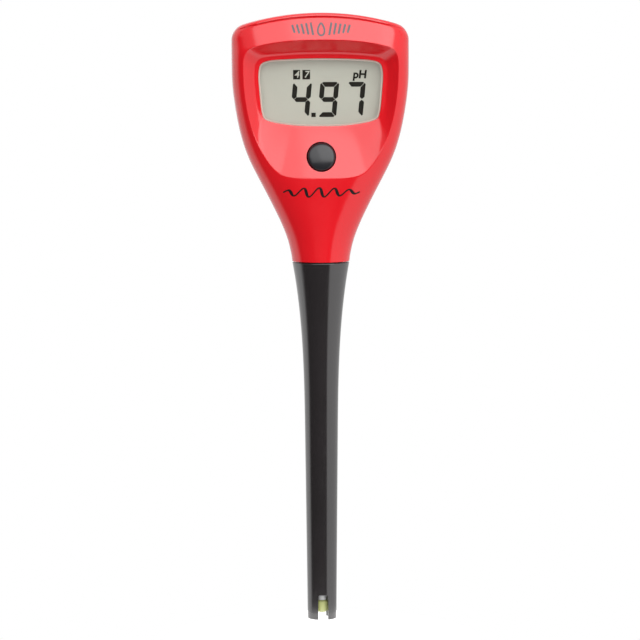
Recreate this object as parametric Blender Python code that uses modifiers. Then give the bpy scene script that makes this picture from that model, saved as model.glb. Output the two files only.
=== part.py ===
"""Digital pH tester: a meter head with display, button and coin cell on a screw-in glass electrode.

Frame: +Z up along the electrode's axis, the display faces -Y, and the electrode's tip is at z = 0.
Sizes are in millimetres, and MM turns them into Blender's metres.
"""

import math

import bmesh
import bpy
from mathutils import Vector

MM = 0.001

# Whole object
HEAD_TOP = 174.0
HALF_DEPTH = 10.5
NECK_END = 103.4
PROBE_TOP = 103.1
WALL = 1.8
PARTING_GAP = 0.1

# Head: half widths and depths against height, smooth between the knots
WIDTH_KNOTS = ((103.4, 8.2), (105.3, 8.45), (109.6, 9.48), (114.2, 11.25), (118.7, 13.38), (123.2, 15.65),
               (127.7, 18.0), (132.2, 20.2), (136.7, 21.9), (142.6, 23.4), (150.3, 24.5), (158.3, 25.1),
               (165.2, 25.2))
DEPTH_KNOTS = ((103.4, 8.15), (109.2, 8.3), (118.1, 8.9), (127.4, 9.8), (140.6, 10.3), (150.5, HALF_DEPTH))
ROUNDNESS_KNOTS = ((103.4, 2.0), (113.2, 2.05), (125.9, 2.35), (138.7, 2.8), (150.5, 3.2))
CROWN_RADIUS = 75.0
CORNER_RADIUS = 3.2
CORNER_START = 170.5
BROW_START, BROW_SLOPE, BROW_SOFTNESS = 166.0, 0.4, 0.5
RIM_START, RIM_HEIGHT, RIM_DEPTH = 172.9, 1.2, 0.9
BACK_START, BACK_HEIGHT, BACK_DEPTH = 162.0, 12.4, 4.0
BACK_INSET = 0.3

# Display recess and window, right-hand halves as (x, z), from the top middle to the bottom middle
RECESS_HALF = ((0, 166.4), (9.5, 166.05), (16.8, 164.95), (20.4, 163.7), (21.7, 161.5), (21.9, 155.8),
               (21.3, 149.0), (19.6, 141.2), (16.9, 134.9), (13.9, 130.5), (11.4, 128.4), (8.0, 127.6),
               (0, 127.4))
WINDOW_HALF = ((0, 161.15), (9.0, 160.95), (15.0, 160.45), (16.9, 159.6), (17.6, 157.5), (17.4, 151.9),
               (16.7, 145.75), (16.1, 144.2), (14.6, 143.4), (8.0, 142.25), (0, 141.95))
FLOOR_Y = -5.0
WALL_STRAIGHTNESS, RAMP_STRAIGHTNESS = 0.1, 0.65
INNER_FLOOR_Y = FLOOR_Y + WALL
FLOOR_START, FLOOR_END = 125.0, 165.0

# Button
BUTTON_Z = 133.4
BUTTON_RADIUS = 3.9
BUTTON_HOLE = 4.2
BUTTON_TRAVEL = 0.6
DOME_RADIUS = 10.0
DOME_DROP = 2.7
DOME_APEX = 8.9
STEM_RADIUS = 1.6
STEM_END = -1.65

# Board and display stack, as y planes
BOARD_FRONT, BOARD_BACK = 2.7, 4.3
DISPLAY_Z = 151.5
SWITCH_FRONT = -0.8

# Battery compartment, about an axis along Y
CELL_Z = 147.5
CELL_RADIUS, CELL_Y = 10.0, (4.95, 8.15)
COVER_RADIUS, COVER_Y = 13.3, (8.65, 10.3)
SKIRT_OUTER, SKIRT_INNER, SKIRT_END = 11.2, 10.4, 5.5
LUG_RADIUS, LUG_THICK, LUG_ARC = 12.35, 0.85, 29.0
WELL_RADIUS, WELL_OUTER, WELL_END = 12.7, 15.0, 4.7
SEAT_RADIUS, SEAT_Y = 13.6, 7.6
KEEPER_RADIUS = 11.5
KEEPER_START, KEEPER_ARC = -35.0, 50.0
COVER_LEAD = 9.8
RAMP_CLEARANCE = 0.25

# Screws, as (x, z) with their axes along Y
CASE_SCREWS = ((-20.2, 166.9), (20.2, 166.9), (-7.0, 119.5), (7.0, 119.5))
BOARD_SCREWS = ((-15.2, 136.7), (15.2, 136.7))
SCREW_SEAT_Y = 4.2
BOSS_SETBACK = 0.25

# Electrode and its screw thread
TIP_RADIUS, TAPER = 4.14, 0.0108
FLARE, FLARE_LENGTH = 2.9, 50.0
BORE_RADIUS = 3.0
SLOT_WIDTH, SLOT_HEIGHT, SLOT_TURN = 2.9, 7.1, math.radians(3)
THREAD_PITCH = 1.5
THREAD_CORE, THREAD_CREST = 3.9, 4.65
NUT_ROOT, NUT_CREST = 5.0, 4.2
RIDGE_ROOT_HALF, RIDGE_CREST_HALF = 0.5, 0.15
THREAD_START, THREAD_TURNS = 105.3, 2.5
SOCKET_RADIUS, SOCKET_BORE, SOCKET_FLANGE = 6.2, 6.4, 7.0
SOCKET_START, SOCKET_LEDGE = 104.3, 113.3
LEAD_RADIUS = 0.4
MANIFOLD_NODES = ("front_shell", "rear_shell", "battery_cover")
AXIS_BACK = (math.radians(-90), 0, 0)
AXIS_FRONT = (math.radians(90), 0, 0)


# ---------------------------------------------------------------- scene and materials

def start_scene():
    for obj in list(bpy.data.objects):
        bpy.data.objects.remove(obj, do_unlink=True)
    made = {}
    for name in ("ph_meter", "ph_meter_cutters"):
        made[name] = bpy.data.collections.new(name)
        bpy.context.scene.collection.children.link(made[name])
    return made["ph_meter"], made["ph_meter_cutters"]


PARTS, CUTTERS = start_scene()


def material(name, colour, roughness, metallic=0.0, alpha=1.0):
    made = bpy.data.materials.new(name)
    made.use_nodes = True
    shader = made.node_tree.nodes["Principled BSDF"]
    shader.inputs["Base Color"].default_value = (*colour, 1.0)
    shader.inputs["Roughness"].default_value = roughness
    shader.inputs["Metallic"].default_value = metallic
    shader.inputs["Alpha"].default_value = alpha
    return made


RED = material("red_abs", (0.84, 0.012, 0.022), 0.25)
DARK = material("dark_grey_abs", (0.028, 0.026, 0.026), 0.3)
BUTTON_GREY = material("button_grey", (0.03, 0.03, 0.032), 0.25)
CLEAR = material("clear_acrylic", (0.9, 0.92, 0.92), 0.05, alpha=0.3)
LCD_GLASS = material("lcd_glass", (0.55, 0.55, 0.47), 0.2)
WHITE = material("white_plastic", (0.8, 0.8, 0.78), 0.4)
RUBBER = material("black_rubber", (0.02, 0.02, 0.02), 0.7)
BOARD_GREEN = material("board_green", (0.02, 0.16, 0.07), 0.4)
CHIP = material("chip_black", (0.015, 0.015, 0.015), 0.5)
STEEL = material("steel", (0.6, 0.6, 0.6), 0.3, 1.0)
BRASS = material("brass", (0.75, 0.55, 0.2), 0.3, 1.0)
SILVER = material("silver", (0.7, 0.7, 0.68), 0.35, 1.0)
STEM_GLASS = material("stem_glass", (0.9, 0.9, 0.92), 0.05, alpha=0.35)
BULB_GLASS = material("bulb_glass", (0.55, 0.6, 0.2), 0.1, alpha=0.6)
CERAMIC = material("ceramic", (0.85, 0.84, 0.8), 0.7)


# ---------------------------------------------------------------- shape makers

def add_object(name, mesh, look, at, turn):
    """A look of None makes a hidden cutter."""
    obj = bpy.data.objects.new(name, mesh)
    obj.location = Vector(at) * MM
    obj.rotation_euler = turn
    if look is None:
        CUTTERS.objects.link(obj)
        obj.hide_render = True
        obj.display_type = "WIRE"
    else:
        mesh.materials.append(look)
        PARTS.objects.link(obj)
    return obj


def from_bmesh(name, bm, look, at=(0, 0, 0), turn=(0, 0, 0)):
    bmesh.ops.recalc_face_normals(bm, faces=bm.faces)
    if bm.calc_volume(signed=True) < 0:
        bmesh.ops.reverse_faces(bm, faces=bm.faces)
    mesh = bpy.data.meshes.new(name)
    bm.to_mesh(mesh)
    bm.free()
    return add_object(name, mesh, look, at, turn)


def loft(name, rings, look, at=(0, 0, 0), turn=(0, 0, 0)):
    """A closed solid through rings of equal length, capped at both ends."""
    bm = bmesh.new()
    loops = [[bm.verts.new(Vector(point) * MM) for point in ring] for ring in rings]
    count = len(loops[0])
    for low, high in zip(loops, loops[1:]):
        for i in range(count):
            j = (i + 1) % count
            bm.faces.new((low[i], low[j], high[j], high[i]))
    bm.faces.new(loops[0])
    bm.faces.new(loops[-1])
    return from_bmesh(name, bm, look, at, turn)


def turned(name, profile, look, steps=32, ring=False, at=(0, 0, 0), turn=(0, 0, 0)):
    """A profile of (radius, height) turned about local Z, open unless it makes a ring."""
    mesh = bpy.data.meshes.new(name)
    count = len(profile)
    edges = [(i, i + 1) for i in range(count - 1)] + ([(count - 1, 0)] if ring else [])
    mesh.from_pydata([(r * MM, 0, z * MM) for r, z in profile], edges, [])
    obj = add_object(name, mesh, look, at, turn)
    screw = obj.modifiers.new("Turn", "SCREW")
    screw.steps = screw.render_steps = steps
    screw.use_merge_vertices = True
    screw.merge_threshold = 0.00001
    screw.use_smooth_shade = True
    return obj


def cylinder(name, radius, low, high, look, steps=24, at=(0, 0, 0), turn=(0, 0, 0)):
    bm = bmesh.new()
    bmesh.ops.create_cone(bm, cap_ends=True, segments=steps, radius1=radius * MM, radius2=radius * MM,
                          depth=(high - low) * MM)
    bmesh.ops.translate(bm, verts=bm.verts, vec=(0, 0, (low + high) / 2 * MM))
    return from_bmesh(name, bm, look, at, turn)


def y_cylinder(name, radius, low, high, x, z, look, steps=24):
    """A cylinder along world Y, from y = low to y = high."""
    return cylinder(name, radius, low, high, look, steps, (x, 0, z), AXIS_BACK)


def box(name, low, high, look, turn=(0, 0, 0)):
    bm = bmesh.new()
    bmesh.ops.create_cube(bm, size=1)
    size = Vector(high) - Vector(low)
    bmesh.ops.scale(bm, verts=bm.verts, vec=size * MM)
    return from_bmesh(name, bm, look, (Vector(low) + Vector(high)) / 2, turn)


def prism(name, outline, low, high, look):
    """A flat outline of (x, z) points swept along Y."""
    return loft(name, [[(x, y, z) for x, z in outline] for y in (low, high)], look)


def torus(name, major, minor, look, at, turn=(0, 0, 0), major_steps=32, minor_steps=8):
    profile = [(major + minor * math.cos(a), minor * math.sin(a))
               for a in (-2 * math.pi * i / minor_steps for i in range(minor_steps))]
    return turned(name, profile, look, major_steps, True, at, turn)


def wire(name, points, radius, look):
    """A round wire through the points, with closed ends."""
    curve = bpy.data.curves.new(name, "CURVE")
    curve.dimensions = "3D"
    curve.bevel_depth = radius * MM
    curve.bevel_resolution = 1
    curve.use_fill_caps = True
    spline = curve.splines.new("POLY")
    spline.points.add(len(points) - 1)
    for target, point in zip(spline.points, points):
        target.co = (*(Vector(point) * MM), 1)
    obj = bpy.data.objects.new(name, curve)
    curve.materials.append(look)
    PARTS.objects.link(obj)
    return obj


def boolean(target, operation, *others):
    """The shells' many curved cuts need the manifold solver, and the simpler pieces the default one."""
    for other in others:
        step = target.modifiers.new(other.name, "BOOLEAN")
        step.operation = operation
        step.solver = "MANIFOLD" if target.name in MANIFOLD_NODES else "EXACT"
        step.object = other


def cut(target, *cutters):
    boolean(target, "DIFFERENCE", *cutters)


def join(target, *others):
    boolean(target, "UNION", *others)


# ---------------------------------------------------------------- curves that give the head its shape

def smooth_value(knots, at):
    """Cubic interpolation through (position, value) knots, level beyond the ends."""
    if at <= knots[0][0]:
        return knots[0][1]
    if at >= knots[-1][0]:
        return knots[-1][1]
    i = next(k for k in range(len(knots) - 1) if knots[k + 1][0] >= at)
    (p1, v1), (p2, v2) = knots[i], knots[i + 1]
    p0, v0 = knots[max(i - 1, 0)]
    p3, v3 = knots[min(i + 2, len(knots) - 1)]
    step = p2 - p1
    slope1 = (v2 - v0) / (p2 - p0) * step
    slope2 = (v3 - v1) / (p3 - p1) * step
    t = (at - p1) / step
    return ((2 * t**3 - 3 * t**2 + 1) * v1 + (t**3 - 2 * t**2 + t) * slope1
            + (3 * t**2 - 2 * t**3) * v2 + (t**3 - t**2) * slope2)


def smooth_loop(half, per_span):
    """A closed, mirror-symmetric outline through the right half's (x, z) points, as a Catmull-Rom curve."""
    knots = [Vector(p) for p in half] + [Vector((-x, z)) for x, z in half[-2:0:-1]]
    count = len(knots)
    points = []
    for i in range(count):
        p0, p1, p2, p3 = (knots[(i + k) % count] for k in (-1, 0, 1, 2))
        d0, d1, d2 = ((b - a).length**0.5 for a, b in ((p0, p1), (p1, p2), (p2, p3)))
        slope1 = (p1 - p0) / d0 - (p2 - p0) / (d0 + d1) + (p2 - p1) / d1
        slope2 = (p2 - p1) / d1 - (p3 - p1) / (d1 + d2) + (p3 - p2) / d2
        for k in range(per_span):
            t = k / per_span
            points.append((2 * t**3 - 3 * t**2 + 1) * p1 + (t**3 - 2 * t**2 + t) * d1 * slope1
                          + (3 * t**2 - 2 * t**3) * p2 + (t**3 - t**2) * d1 * slope2)
    return [tuple(p) for p in points]


def fillet_drop(level, start, height, depth):
    """How far a surface has turned inwards along an elliptical fillet at this level."""
    share = min(max((level - start) / height, 0.0), 1.0)
    return depth * (1 - math.sqrt(1 - share * share))


def crown(level):
    """How strongly a level line bends down towards the sides: 0 below the display, 1 at the top."""
    t = min(max((level - 140.6) / 25.5, 0.0), 1.0)
    return t * t * (3 - 2 * t)


def section(level):
    """(half width, front depth, back depth, roundness) of the head at a level."""
    width = smooth_value(WIDTH_KNOTS, level)
    width -= fillet_drop(level, CORNER_START, HEAD_TOP - CORNER_START, CORNER_RADIUS)
    depth = smooth_value(DEPTH_KNOTS, level)
    brow = BROW_SOFTNESS * math.log1p(math.exp((level - BROW_START) / BROW_SOFTNESS))
    front = depth - BROW_SLOPE * brow - fillet_drop(level, RIM_START, RIM_HEIGHT, RIM_DEPTH)
    back = depth - BACK_INSET * crown(level) - fillet_drop(level, BACK_START, BACK_HEIGHT, BACK_DEPTH)
    return width, front, back, smooth_value(ROUNDNESS_KNOTS, level)


def level_of(x, z):
    """The level line that passes through (x, z)."""
    level = z
    for _ in range(8):
        level = z + crown(level) * x * x / (2 * CROWN_RADIUS)
    return level


def front_y(x, z):
    """The outer surface's y at (x, z), on the display side."""
    width, front, _, power = section(level_of(x, z))
    share = min(abs(x) / width, 1.0)
    return -front * (1 - share**power) ** (1 / power)


def half_ring(level, side, steps, inset=0.0, parting=PARTING_GAP, nearest=None):
    """One level line of half the head: side -1 is the display half, side 1 the back half."""
    width, front, back, power = section(level)
    width -= inset
    depth = (front if side < 0 else back) - inset
    ring = []
    for i in range(steps + 1):
        angle = math.pi * i / steps
        c, s = math.cos(angle), math.sin(angle)
        reach = (abs(c) ** power + abs(s) ** power) ** (-1 / power)
        x, y = width * c * reach, depth * s * reach
        if nearest is not None:
            y = min(y, nearest)
        z = level - crown(level) * (inset + x * x / (2 * CROWN_RADIUS))
        ring.append((x, side * max(y, parting), z))
    return ring


# ---------------------------------------------------------------- shells

LEVELS = (NECK_END, 106.3, 110.2, 114.2, 118.6, 123, 127.4, 131.8, 136.2, 141.1, 147.5, 155.4, 162.2, 166.6,
          169.6, 171.4, 172.8, 173.6, HEAD_TOP)
CAVITY_LEVELS = (SOCKET_LEDGE, 118.6, 123, 127.4, 130.8, 133.8, 136.7, 139.7, 142.6, 147.5, 155.4, 162.2,
                 166.6, 169.6, 171.4, 172.4)
RIM_STEPS = 18


def recess_rise(share, straightness):
    """How far the recess has risen from its floor to its rim, at a share of the way out from the window."""
    return straightness * share + (1 - straightness) * share * share


def ramp_y(z):
    """The y of the ramp between the window and the bottom of the recess, on the middle line."""
    top, bottom = WINDOW_HALF[-1][1], RECESS_HALF[-1][1]
    share = min(max((top - z) / (top - bottom), 0.0), 1.0)
    return FLOOR_Y + (front_y(0, z) - FLOOR_Y) * recess_rise(share, RAMP_STRAIGHTNESS)


def recess_cutter(per_span=3):
    rim = smooth_loop(RECESS_HALF, per_span)
    window = smooth_loop(WINDOW_HALF, per_span)
    count = len(rim)
    window = [window[round(i * len(window) / count) % len(window)] for i in range(count)]
    rings = [[(x, -HALF_DEPTH - 3, z) for x, z in rim]]
    for share in (1.0, 0.8, 0.55, 0.3, 0.0):
        ring = []
        for i, ((rx, rz), (wx, wz)) in enumerate(zip(rim, window)):
            bottomness = min(max(0.5 - math.cos(2 * math.pi * i / count), 0.0), 1.0)
            straightness = WALL_STRAIGHTNESS + (RAMP_STRAIGHTNESS - WALL_STRAIGHTNESS) * bottomness
            y = FLOOR_Y + (front_y(rx, rz) - FLOOR_Y) * recess_rise(share, straightness)
            ring.append((wx + (rx - wx) * share, y, wz + (rz - wz) * share))
        rings.append(ring)
    return loft("recess_cutter", rings, None)


def scaled_outline(half, grow, per_span=3):
    """The closed outline of a half, moved outwards by grow."""
    points = [Vector(p) for p in smooth_loop(half, per_span)]
    count = len(points)
    moved = []
    for i, point in enumerate(points):
        along = (points[(i + 1) % count] - points[i - 1]).normalized()
        moved.append((point.x - along.y * grow, point.y + along.x * grow))
    return moved


def front_cavity():
    rings = []
    for level in CAVITY_LEVELS:
        inner = None
        if level > FLOOR_START:
            inner = -(ramp_y(level) + WALL) if level < FLOOR_END else -INNER_FLOOR_Y
        rings.append(half_ring(level, -1, RIM_STEPS, WALL, -1.0, inner))
    return loft("front_cavity", rings, None)


def socket_cutters(side):
    """The neck's bore for the electrode socket, and the seat for its flange."""
    return [cylinder(f"{side}_socket_bore", SOCKET_BORE, 100, SOCKET_LEDGE + 0.5, None, 24),
            cylinder(f"{side}_socket_seat", SOCKET_FLANGE + 0.25, SOCKET_LEDGE, 115.4, None, 24)]


def make_front_shell():
    shell = loft("front_shell", [half_ring(level, -1, RIM_STEPS) for level in LEVELS], RED)
    cut(shell, recess_cutter(), front_cavity())
    bosses = [y_cylinder(f"front_boss_{i}", 2.8, -5.6, -BOSS_SETBACK, x, z, None, 12)
              for i, (x, z) in enumerate(CASE_SCREWS, 1)]
    posts = [y_cylinder(f"board_post_{i}", 2.1, -5.6, BOARD_FRONT - 0.1, x, z, None, 12)
             for i, (x, z) in enumerate(BOARD_SCREWS, 1)]
    join(shell, *bosses, *posts)
    holes = [y_cylinder(f"front_pilot_{i}", 1.4, -4.9, 1, x, z, None, 12)
             for i, (x, z) in enumerate(CASE_SCREWS, 1)]
    holes += [y_cylinder(f"post_pilot_{i}", 1.2, -1.8, 4, x, z, None, 12)
              for i, (x, z) in enumerate(BOARD_SCREWS, 1)]
    holes.append(prism("window_cutter", smooth_loop(WINDOW_HALF, 2), FLOOR_Y - 2, INNER_FLOOR_Y + 2, None))
    holes.append(y_cylinder("button_hole", BUTTON_HOLE, -12, 1, 0, BUTTON_Z, None, 32))
    holes.append(y_cylinder("button_pocket", 5.4, -4.6, 1, 0, BUTTON_Z, None, 24))
    holes += socket_cutters("front")
    cut(shell, *holes)
    return shell


def sector(name, inner, outer, start, end, low_of, high_of, look, steps=6):
    """A piece of a ring about Z between two angles in degrees, whose floor and roof follow the angle."""
    rings = []
    for i in range(steps + 1):
        degrees = start + (end - start) * i / steps
        a = math.radians(degrees)
        rings.append([(r * math.cos(a), r * math.sin(a), h) for r, h in
                      ((inner, low_of(degrees)), (outer, low_of(degrees)), (outer, high_of(degrees)),
                       (inner, high_of(degrees)))])
    return loft(name, rings, look, (0, 0, CELL_Z), AXIS_BACK)


def lug_roof(degrees):
    """The lugs' upper face: a helix of the cover's lead, 6.4 mm from the parting plane at -15 degrees."""
    return 6.4 + COVER_LEAD * (degrees + 15) / 360


def make_rear_shell():
    shell = loft("rear_shell", [half_ring(level, 1, RIM_STEPS) for level in LEVELS], RED)
    hollow = [half_ring(level, 1, RIM_STEPS, WALL, -1.0) for level in CAVITY_LEVELS]
    cut(shell, loft("rear_cavity", hollow, None))
    land = y_cylinder("rest_land", WELL_OUTER, WELL_END, HALF_DEPTH, 0, CELL_Z, None, 36)
    bosses = [y_cylinder(f"rear_boss_{i}", 2.9, BOSS_SETBACK, 6.2, x, z, None, 12)
              for i, (x, z) in enumerate(CASE_SCREWS, 1)]
    join(shell, land, *bosses)
    cut(shell, y_cylinder("well_cutter", WELL_RADIUS, 3, 12, 0, CELL_Z, None, 36))
    for i in range(3):
        base = 120 * i
        start = base + KEEPER_START
        join(shell, sector(f"keeper_{i + 1}", KEEPER_RADIUS, WELL_RADIUS + 0.6, start, start + KEEPER_ARC,
                           lambda d, base=base: lug_roof(d - base) + RAMP_CLEARANCE,
                           lambda d: SEAT_Y + 0.5, None, 7))
    cut(shell,
        y_cylinder("seat_cutter", SEAT_RADIUS, SEAT_Y, 12, 0, CELL_Z, None, 36),
        *socket_cutters("rear"))
    for i, (x, z) in enumerate(CASE_SCREWS, 1):
        cut(shell,
            y_cylinder(f"screw_hole_{i}", 1.4, -1, 12, x, z, None, 12),
            y_cylinder(f"screw_sink_{i}", 2.35, SCREW_SEAT_Y, 12, x, z, None, 16))
    cut(shell, seal_path("seal_groove", 0.55, 0.05, 1.0, None))
    return shell


def seal_path(name, half, low, high, look):
    """A square cord along the parting line, in the middle of the wall, from one neck side to the other."""
    levels = (118.6, 123, 127.9, 132.8, 137.7, 143.6, 150.5, 158.3, 165.2, 169.5, 171.5)
    middle = WALL / 2
    right = []
    for level in levels:
        width = section(level)[0] - middle
        right.append((width, level - crown(level) * (middle + width**2 / (2 * CROWN_RADIUS))))
    top_z = HEAD_TOP - middle
    reach = right[-1][0] - 2.2
    right += [(x, top_z - x * x / (2 * CROWN_RADIUS)) for x in (reach, reach * 0.6, reach * 0.25)]
    path = [Vector(p) for p in right + [(-x, z) for x, z in reversed(right)]]
    rings = []
    for i, point in enumerate(path):
        along = (path[min(i + 1, len(path) - 1)] - path[max(i - 1, 0)]).normalized()
        across = Vector((-along.y, along.x)) * half
        inner, outer = point - across, point + across
        rings.append([(inner.x, low, inner.y), (outer.x, low, outer.y), (outer.x, high, outer.y),
                      (inner.x, high, inner.y)])
    return loft(name, rings, look)


# ---------------------------------------------------------------- display, board and button

def ring_plate(name, outer, inner, low, high, look):
    plate = prism(name, outer, low, high, look)
    cut(plate, prism(name + "_opening", inner, low - 1, high + 1, None))
    return plate


def make_display():
    lens = prism("display_lens", scaled_outline(WINDOW_HALF, 1.7, 2), -2.6, -1.6, CLEAR)
    join(lens, prism("lens_window", scaled_outline(WINDOW_HALF, -0.3, 2), FLOOR_Y + 0.5, -2.0, None))
    ring_plate("lens_gasket", scaled_outline(WINDOW_HALF, 1.6, 2), scaled_outline(WINDOW_HALF, 0.3, 2),
               -3.1, -2.65, RUBBER)
    box("lcd_front_glass", (-19, -1.5, DISPLAY_Z - 11), (19, -0.4, DISPLAY_Z + 11), LCD_GLASS)
    box("lcd_rear_glass", (-19, -0.3, DISPLAY_Z - 9.4), (19, 0.8, DISPLAY_Z + 9.4), LCD_GLASS)
    frame = box("lcd_frame", (-20.1, -1.5, DISPLAY_Z - 12.4), (20.1, 2.6, DISPLAY_Z + 12.4), WHITE)
    cut(frame, box("lcd_frame_opening", (-19.3, -3, DISPLAY_Z - 11.3), (19.3, 4, DISPLAY_Z + 11.3), None))
    for name, side in (("zebra_strip_upper", 1), ("zebra_strip_lower", -1)):
        middle = DISPLAY_Z + side * 10.3
        box(name, (-17.5, -0.3, middle - 0.6), (17.5, 2.6, middle + 0.6), RUBBER)


def make_board():
    right = ((0, 164.5), (17.0, 164.5), (20.7, 160.8), (20.2, 143.6), (17.8, 135.8), (12.9, 126),
             (10.8, 122.6), (0, 122.6))
    outline = list(right) + [(-x, z) for x, z in right[-2:0:-1]]
    board = prism("main_board", outline, BOARD_FRONT, BOARD_BACK, BOARD_GREEN)
    cut(board, *(y_cylinder(f"board_hole_{i}", 1.25, 0, 6, x, z, None, 12)
                 for i, (x, z) in enumerate(BOARD_SCREWS, 1)))
    back = BOARD_BACK + 0.05
    box("microcontroller", (-4.5, back, 123.7), (4.5, back + 1.4, 131.7), CHIP)
    box("crystal", (6.6, back, 126.0), (9.4, back + 1.6, 131.6), STEEL)
    for i, (x, z) in enumerate(((-11.0, 128.4), (-8.0, 125.5), (-8.0, 130.5), (11.6, 130.1)), 1):
        box(f"capacitor_{i}", (x - 0.9, back, z - 0.6), (x + 0.9, back + 0.9, z + 0.6), CERAMIC)


def make_button():
    """The cap is round about Y, and its dome leans back so that it lies in the sloping floor."""
    rings = []
    steps = 32

    def circle(radius, height_of):
        points = []
        for i in range(steps):
            a = 2 * math.pi * i / steps
            x, z = radius * math.cos(a), radius * math.sin(a)
            points.append((x, height_of(x, z), z))
        return points

    crest = DOME_APEX - math.sqrt(DOME_RADIUS**2 - DOME_DROP**2)

    def dome(x, z):
        return -crest - math.sqrt(DOME_RADIUS**2 - x * x - (z + DOME_DROP) ** 2)

    rings.append(circle(BUTTON_RADIUS, lambda x, z: -3.6))
    rings.append(circle(BUTTON_RADIUS, lambda x, z: dome(0.95 * x, 0.95 * z) + 0.35))
    for radius in (0.95, 0.85, 0.65, 0.4, 0.12):
        rings.append(circle(BUTTON_RADIUS * radius, dome))
    cap = loft("power_button", rings, BUTTON_GREY, (0, 0, BUTTON_Z))
    stem = cylinder("button_stem", STEM_RADIUS, -STEM_END, 5, None, 16, (0, 0, BUTTON_Z), AXIS_FRONT)
    flange = cylinder("button_flange", 5.1, 2.5, 3.7, None, 32, (0, 0, BUTTON_Z), AXIS_FRONT)
    join(cap, flange, stem)
    turned("button_seal", [(5.0, 4.5), (5.0, 3.8), (4.4, 3.8), (4.4, 4.5)], RUBBER, 32, True,
           (0, 0, BUTTON_Z), AXIS_FRONT)
    switch = box("tact_switch", (-3, SWITCH_FRONT, BUTTON_Z - 3), (3, BOARD_FRONT - 0.05, BUTTON_Z + 3),
                 CHIP)
    cut(switch, y_cylinder("switch_bore", 2.0, SWITCH_FRONT - 1, SWITCH_FRONT + 2.0, 0, BUTTON_Z, None, 20))
    y_cylinder("switch_plunger", 1.7, -1.6, 0.4, 0, BUTTON_Z, CHIP, 20)


# ---------------------------------------------------------------- battery and screws

def make_battery():
    at = (0, 0, CELL_Z)
    low, high = CELL_Y
    foot = BOARD_BACK + 0.05
    cell = [(0, high), (CELL_RADIUS - 0.3, high), (CELL_RADIUS, high - 0.3), (CELL_RADIUS, low + 0.5),
            (CELL_RADIUS - 0.7, low + 0.3), (CELL_RADIUS - 1.2, low), (0, low)]
    turned("battery_cell", cell, STEEL, 30, False, at, AXIS_BACK)
    spring = [(0, low - 0.1), (1.2, low - 0.1), (4.0, foot + 0.15), (4.0, foot), (0, foot)]
    turned("battery_spring", spring, BRASS, 16, False, at, AXIS_BACK)
    touch = CELL_Z - CELL_RADIUS - 0.15
    clip = box("battery_clip", (-3, foot, touch - 0.35), (3, SKIRT_END - 0.3, touch), BRASS)
    join(clip, box("clip_foot", (-3, foot, touch - 1.9), (3, foot + 0.3, touch - 0.1), None))
    low, high = COVER_Y
    profile = [(0, high), (COVER_RADIUS - 0.4, high), (COVER_RADIUS, high - 0.4), (COVER_RADIUS, low),
               (SKIRT_OUTER, low), (SKIRT_OUTER, SKIRT_END), (SKIRT_INNER, SKIRT_END),
               (SKIRT_INNER, low - 0.3), (0, low - 0.3)]
    cover = turned("battery_cover", profile, RED, 36, False, at, AXIS_BACK)
    for i in range(3):
        base = 120 * i - 15
        join(cover, sector(f"lug_{i + 1}", SKIRT_OUTER - 0.4, LUG_RADIUS, base - LUG_ARC / 2,
                           base + LUG_ARC / 2, lambda d, base=base: lug_roof(d - base - 15) - LUG_THICK,
                           lambda d, base=base: lug_roof(d - base - 15), None, 5))
    cut(cover, box("coin_slot", (-6.5, high - 0.9, CELL_Z - 0.9), (6.5, high + 1, CELL_Z + 0.9), None))
    torus("battery_cover_seal", (WELL_RADIUS + SEAT_RADIUS) / 2 - 0.1, 0.42, RUBBER,
          (0, (SEAT_Y + low) / 2, CELL_Z), AXIS_BACK, 30, 6)


def make_screws():
    """One cross-recessed screw mesh for each size, shared by its copies."""
    for stem, radius, head, length, seat, places in (
            ("case_screw", 1.1, 1.95, 8.4, SCREW_SEAT_Y + 0.05, CASE_SCREWS),
            ("board_screw", 0.9, 1.7, 5.4, BOARD_BACK + 0.05, BOARD_SCREWS)):
        source = turned(stem + "_source", [(0, 1.3), (head - 0.5, 1.2), (head, 0.7), (head, 0), (radius, 0),
                                           (radius, 0.6 - length), (0, -length)], None, 10)
        source.location = (0, 0, 0)
        arms = [box(f"{stem}_recess_{i}", (-a, -b, 0.5), (a, b, 2), None)
                for i, (a, b) in enumerate(((head * 0.6, 0.22), (0.22, head * 0.6)), 1)]
        cut(source, *arms)
        bpy.context.view_layer.update()
        evaluated = source.evaluated_get(bpy.context.evaluated_depsgraph_get())
        mesh = bpy.data.meshes.new_from_object(evaluated)
        mesh.materials.clear()
        for i, (x, z) in enumerate(places, 1):
            add_object(f"{stem}_{i}", mesh, STEEL, (x, seat, z), AXIS_BACK)


# ---------------------------------------------------------------- electrode and its socket

def probe_radius(z):
    flare = max(0.0, 1 - (PROBE_TOP - z) / FLARE_LENGTH) ** 3
    return TIP_RADIUS + TAPER * z + FLARE * flare


def helix(name, root, crest, start, steps_per_turn=16):
    """The ridge of a screw thread about Z, with its root inside the wall that it joins."""
    steps = round(THREAD_TURNS * steps_per_turn)
    ridge = ((root, -RIDGE_ROOT_HALF), (crest, -RIDGE_CREST_HALF), (crest, RIDGE_CREST_HALF),
             (root, RIDGE_ROOT_HALF))
    rings = []
    for i in range(steps + 1):
        a = 2 * math.pi * i / steps_per_turn
        z = start + THREAD_PITCH * i / steps_per_turn
        rings.append([(r * math.cos(a), r * math.sin(a), z + h) for r, h in ridge])
    return loft(name, rings, None)


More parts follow.
